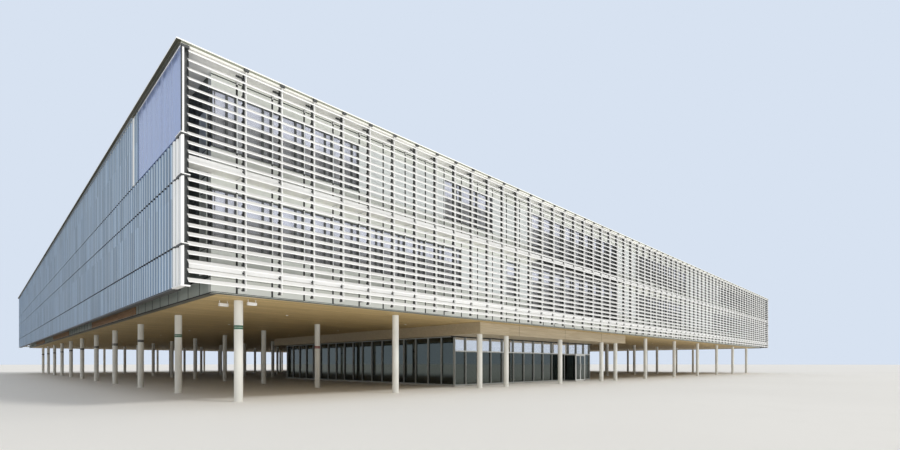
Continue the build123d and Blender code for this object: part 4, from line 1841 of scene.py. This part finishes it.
@dataclass
class Canopy:
    """Timber-clad canopy over the lobby."""

    board: float = 14.0
    skin: float = 2.5
    edge_gap: float = 0.6
    under_gap: float = 0.9
    joint: Stock = Stock((397.0, -0.4, 0.0), (399.0, 2.0, 0.0), HAIR_EDGE)
    joint_pitch: float = 582.0
    joint_count: int = 3
    lintel: Stock = Stock((60.0, -4.0, -7.0), (-60.0, 8.0, 0.0), SOFT_EDGE)
    transom: Stock = Stock((0.0, -3.0, 239.0), (0.0, 1.0, 244.0), SOFT_EDGE)
    transom_runs: tuple[tuple[float, float], ...] = ((-2536.0, -1168.0), (-992.0, -704.0))

    def box(self) -> tuple[Point, Point]:
        """Find the reach of the canopy.

        Returns:
            Its lowest and highest corner.
        """
        x, half = PLAN.lobby_x, PLAN.canopy_half_w
        return ((x - half, PLAN.canopy_front, PLAN.canopy_z),
                (x + half, PLAN.canopy_back, PLAN.soffit))

    def cladding(self) -> None:
        """Clad the canopy with boards round its edge and below."""
        (x0, y0, z0), (x1, y1, z1) = self.box()
        skin, step = self.skin, self.board
        core = bar("core", (x0 + skin, y0 + skin, z0 + skin), (x1 - skin, y1 - skin, z1),
                   FINE_EDGE)
        made = [core]
        rows = int((z1 - z0) / step)
        for low, high in (((x0, y0), (x1, y0 + skin)), ((x0, y1 - skin), (x1, y1)),
                          ((x0, y0 + skin), (x0 + skin, y1 - skin)),
                          ((x1 - skin, y0 + skin), (x1, y1 - skin))):
            strip = bar("strip", (*low, z0), (*high, z0 + step - self.edge_gap), THIN_EDGE)
            made.append(repeat(strip, rows, (0.0, 0.0, step)))
        count = int((y1 - y0 - 2 * skin) / step)
        under = bar("under", (x0 + skin, y0 + skin, z0),
                    (x1 - skin, y0 + skin + step - self.under_gap, z0 + skin), THIN_EDGE)
        made.append(repeat(under, count, (0.0, step, 0.0)))
        piece = join("boarded_canopy", made)
        Look.FASCIA.paint(piece)
        deliver(piece, "timber", "entrance_canopy")

    def trims(self) -> None:
        """Dark joints of the fascia and dark lintel over the lobby's front."""
        (x0, y0, z0), (x1, _, z1) = self.box()
        joints = self.joint.reach("joints", (x0, y0, z0), (x0, y0, z1))
        repeat(joints, self.joint_count, (self.joint_pitch, 0.0, 0.0))
        y = PLAN.lobby_front
        lintel = self.lintel.reach("lintel", (x0, y, z0), (x1, y, z0))
        piece = join("canopy_joints", [joints, lintel])
        Look.SEALANT.paint(piece)
        deliver(piece, "frame_metal")

    def transoms(self) -> None:
        """Pale transom of the lobby's front, on both sides of the porch."""
        y = PLAN.lobby_front
        rail = join("lobby_transom", [self.transom.reach("rail", (start, y, 0.0), (end, y, 0.0))
                                      for start, end in self.transom_runs])
        Look.PORCH.paint(rail)
        deliver(rail, "porch_metal")

    def build(self) -> None:
        """Build and dress the canopy."""
        self.cladding()
        self.trims()
        self.transoms()


@dataclass
class Roof:
    """Welded seams of the roof membrane."""

    pitch: float = 150.0
    first_x: float = -4200.0
    seam: Stock = Stock((0.0, -4205.0, -4.0), (3.0, 4205.0, -3.2), HAIR_EDGE)

    def build(self) -> None:
        """Build and dress the seams."""
        seam = self.seam.set_at("roof_seams", self.first_x, z=PLAN.roof_top)
        count = int(-2 * self.first_x / self.pitch) + 1
        repeat(seam, count, (self.pitch, 0.0, 0.0))
        Look.MEMBRANE.paint(seam)
        deliver(seam, "roof_metal")


NODE_LOOKS: dict[str, Look] = {
    "first_floor_deck": Look.CONCRETE, "second_floor_slab": Look.CONCRETE,
    "roof_deck": Look.ROOF,
    "front_wall_bands": Look.SPANDREL, "back_wall_bands": Look.SPANDREL,
    "front_wall_panels": Look.PANEL, "back_wall_panels": Look.PANEL,
    "front_glass": Look.WINDOW, "back_glass": Look.WINDOW,
    "left_glass": Look.WINDOW, "right_glass": Look.WINDOW,
    "base_courses": Look.BASE_ZINC, "left_wall_bands": Look.ZINC, "right_wall_bands": Look.ZINC,
    "left_wall_piers": Look.FRAME, "right_wall_piers": Look.FRAME,
    "front_louvre_posts": Look.DARK_STEEL, "back_louvre_posts": Look.DARK_STEEL,
    "louvre_walkways": Look.CREAM, "louvre_arms": Look.WHITE_METAL,
    "left_screen_rails": Look.SEALANT, "left_screen_posts": Look.SCREEN_POST,
    "right_screen_rails": Look.SEALANT, "right_screen_posts": Look.SCREEN_POST,
    "corner_glass": Look.CORNER,
    "lobby_floor": Look.CONCRETE, "lobby_front_frame": Look.LOBBY_FRAME,
    "lobby_back_frame": Look.LOBBY_FRAME, "lobby_side_frames": Look.LOBBY_FRAME,
    "lobby_glass": Look.CLEAR, "porch_glass": Look.CLEAR, "porch_frame": Look.PORCH,
    "left_door_frame": Look.PORCH, "right_door_frame": Look.PORCH,
    "left_door_glass": Look.CLEAR, "right_door_glass": Look.CLEAR,
}


def dress_nodes() -> None:
    """Give every CAD node that stays its finish."""
    for name, look in NODE_LOOKS.items():
        look.paint(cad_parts[name])
        log.info("%s: %s", name, look.value.name)


@dataclass
class Studio:
    """Floor, light, background and camera."""

    floor_side: float = 160.0
    floor_coat: Coated = Coated("studio floor", (0.92, 0.91, 0.88), 0.9, soil=0.05, scale=0.6,
                                lot=(90000.0, 90000.0, 90000.0), spread=0.0)
    sky: Colour = (0.68, 0.76, 0.88)
    ambient: float = 0.62
    sun: float = 1.2
    sun_colour: Colour = (1.0, 0.97, 0.92)
    sun_tilt: float = 52.0
    sun_turn: float = 24.0
    sun_spread: float = 12.0
    fill: float = 1.5
    fill_place: Point = (0.0, -7.0, 0.02)
    fill_size: tuple[float, float] = (14.0, 4.6)
    eye_place: Point = (-4.794, -5.996, 0.1554)
    eye_turn: float = -45.248
    lens: float = 18.713
    lens_shift: float = 0.1539
    film: float = 36.0
    sight: tuple[float, float] = (0.05, 300.0)

    def floor(self) -> None:
        """Lay the floor."""
        hold()
        bpy.ops.mesh.primitive_plane_add(size=self.floor_side, location=(0.0, 0.0, 0.0))
        plate = bpy.context.object
        plate.name = "studio_floor"
        plate.data.materials.append(self.floor_coat.make())

    def world(self) -> None:
        """Light the object evenly, and show a pale sky behind it."""
        world = bpy.data.worlds.new("studio")
        bpy.context.scene.world = world
        world.use_nodes = True
        tree = world.node_tree
        tree.nodes.clear()
        wire = Wiring(tree)
        path = wire.node("ShaderNodeLightPath", {}).outputs
        seen = wire.math("MAXIMUM", path["Is Camera Ray"], path["Is Glossy Ray"])
        seen = wire.math("MAXIMUM", seen, path["Is Transmission Ray"])
        light = wire.node("ShaderNodeBackground",
                          {"Color": (1.0, 1.0, 1.0), "Strength": self.ambient})
        shown = wire.node("ShaderNodeBackground", {"Color": self.sky, "Strength": 1.0})
        both = wire.node("ShaderNodeMixShader", {0: seen, 1: light.outputs[0], 2: shown.outputs[0]})
        wire.node("ShaderNodeOutputWorld", {0: both.outputs[0]})

    def key_light(self) -> None:
        """Add one soft sun from the front right."""
        hold()
        turn = (math.radians(self.sun_tilt), 0.0, math.radians(self.sun_turn))
        bpy.ops.object.light_add(type="SUN", rotation=turn)
        key = bpy.context.object
        key.name = "key_light"
        key.data.energy = self.sun
        key.data.angle = math.radians(self.sun_spread)
        key.data.color = self.sun_colour

    def fill_light(self) -> None:
        """Lay a broad soft light on the floor, facing up, out of the camera's sight."""
        hold()
        bpy.ops.object.light_add(type="AREA", location=self.fill_place,
                                 rotation=(math.pi, 0.0, 0.0))
        box = bpy.context.object
        box.name = "front_fill"
        box.data.shape = "RECTANGLE"
        box.data.size, box.data.size_y = self.fill_size
        box.data.energy = self.fill * math.pi * box.data.size * box.data.size_y
        box.visible_camera = box.visible_glossy = False

    def camera(self) -> None:
        """Look at the near corner as the photograph does."""
        hold()
        bpy.ops.object.camera_add(
            location=self.eye_place, rotation=(math.radians(90), 0.0, math.radians(self.eye_turn)))
        eye = bpy.context.object
        eye.name = "photo_camera"
        eye.data.lens = self.lens
        eye.data.sensor_width = self.film
        eye.data.shift_y = self.lens_shift
        eye.data.clip_start, eye.data.clip_end = self.sight
        bpy.context.scene.camera = eye

    def build(self) -> None:
        """Set the scene up."""
        self.floor()
        self.world()
        self.key_light()
        self.fill_light()
        self.camera()
        bpy.context.scene.view_settings.view_transform = "Standard"


def main() -> None:
    """Build every sub-assembly in order, then note the sizes."""
    logging.basicConfig(level=logging.INFO, format="%(name)s %(message)s")
    for part in (Studio(), Columns(), Soffit(), Canopy(), FlutedScreens(), Louvres(),
                 LongWalls(), EndWalls(), Corners(), Roof()):
        log.info("building %s", type(part).__name__)
        part.build()
    dress_nodes()


if __name__ == "__main__":
    main()
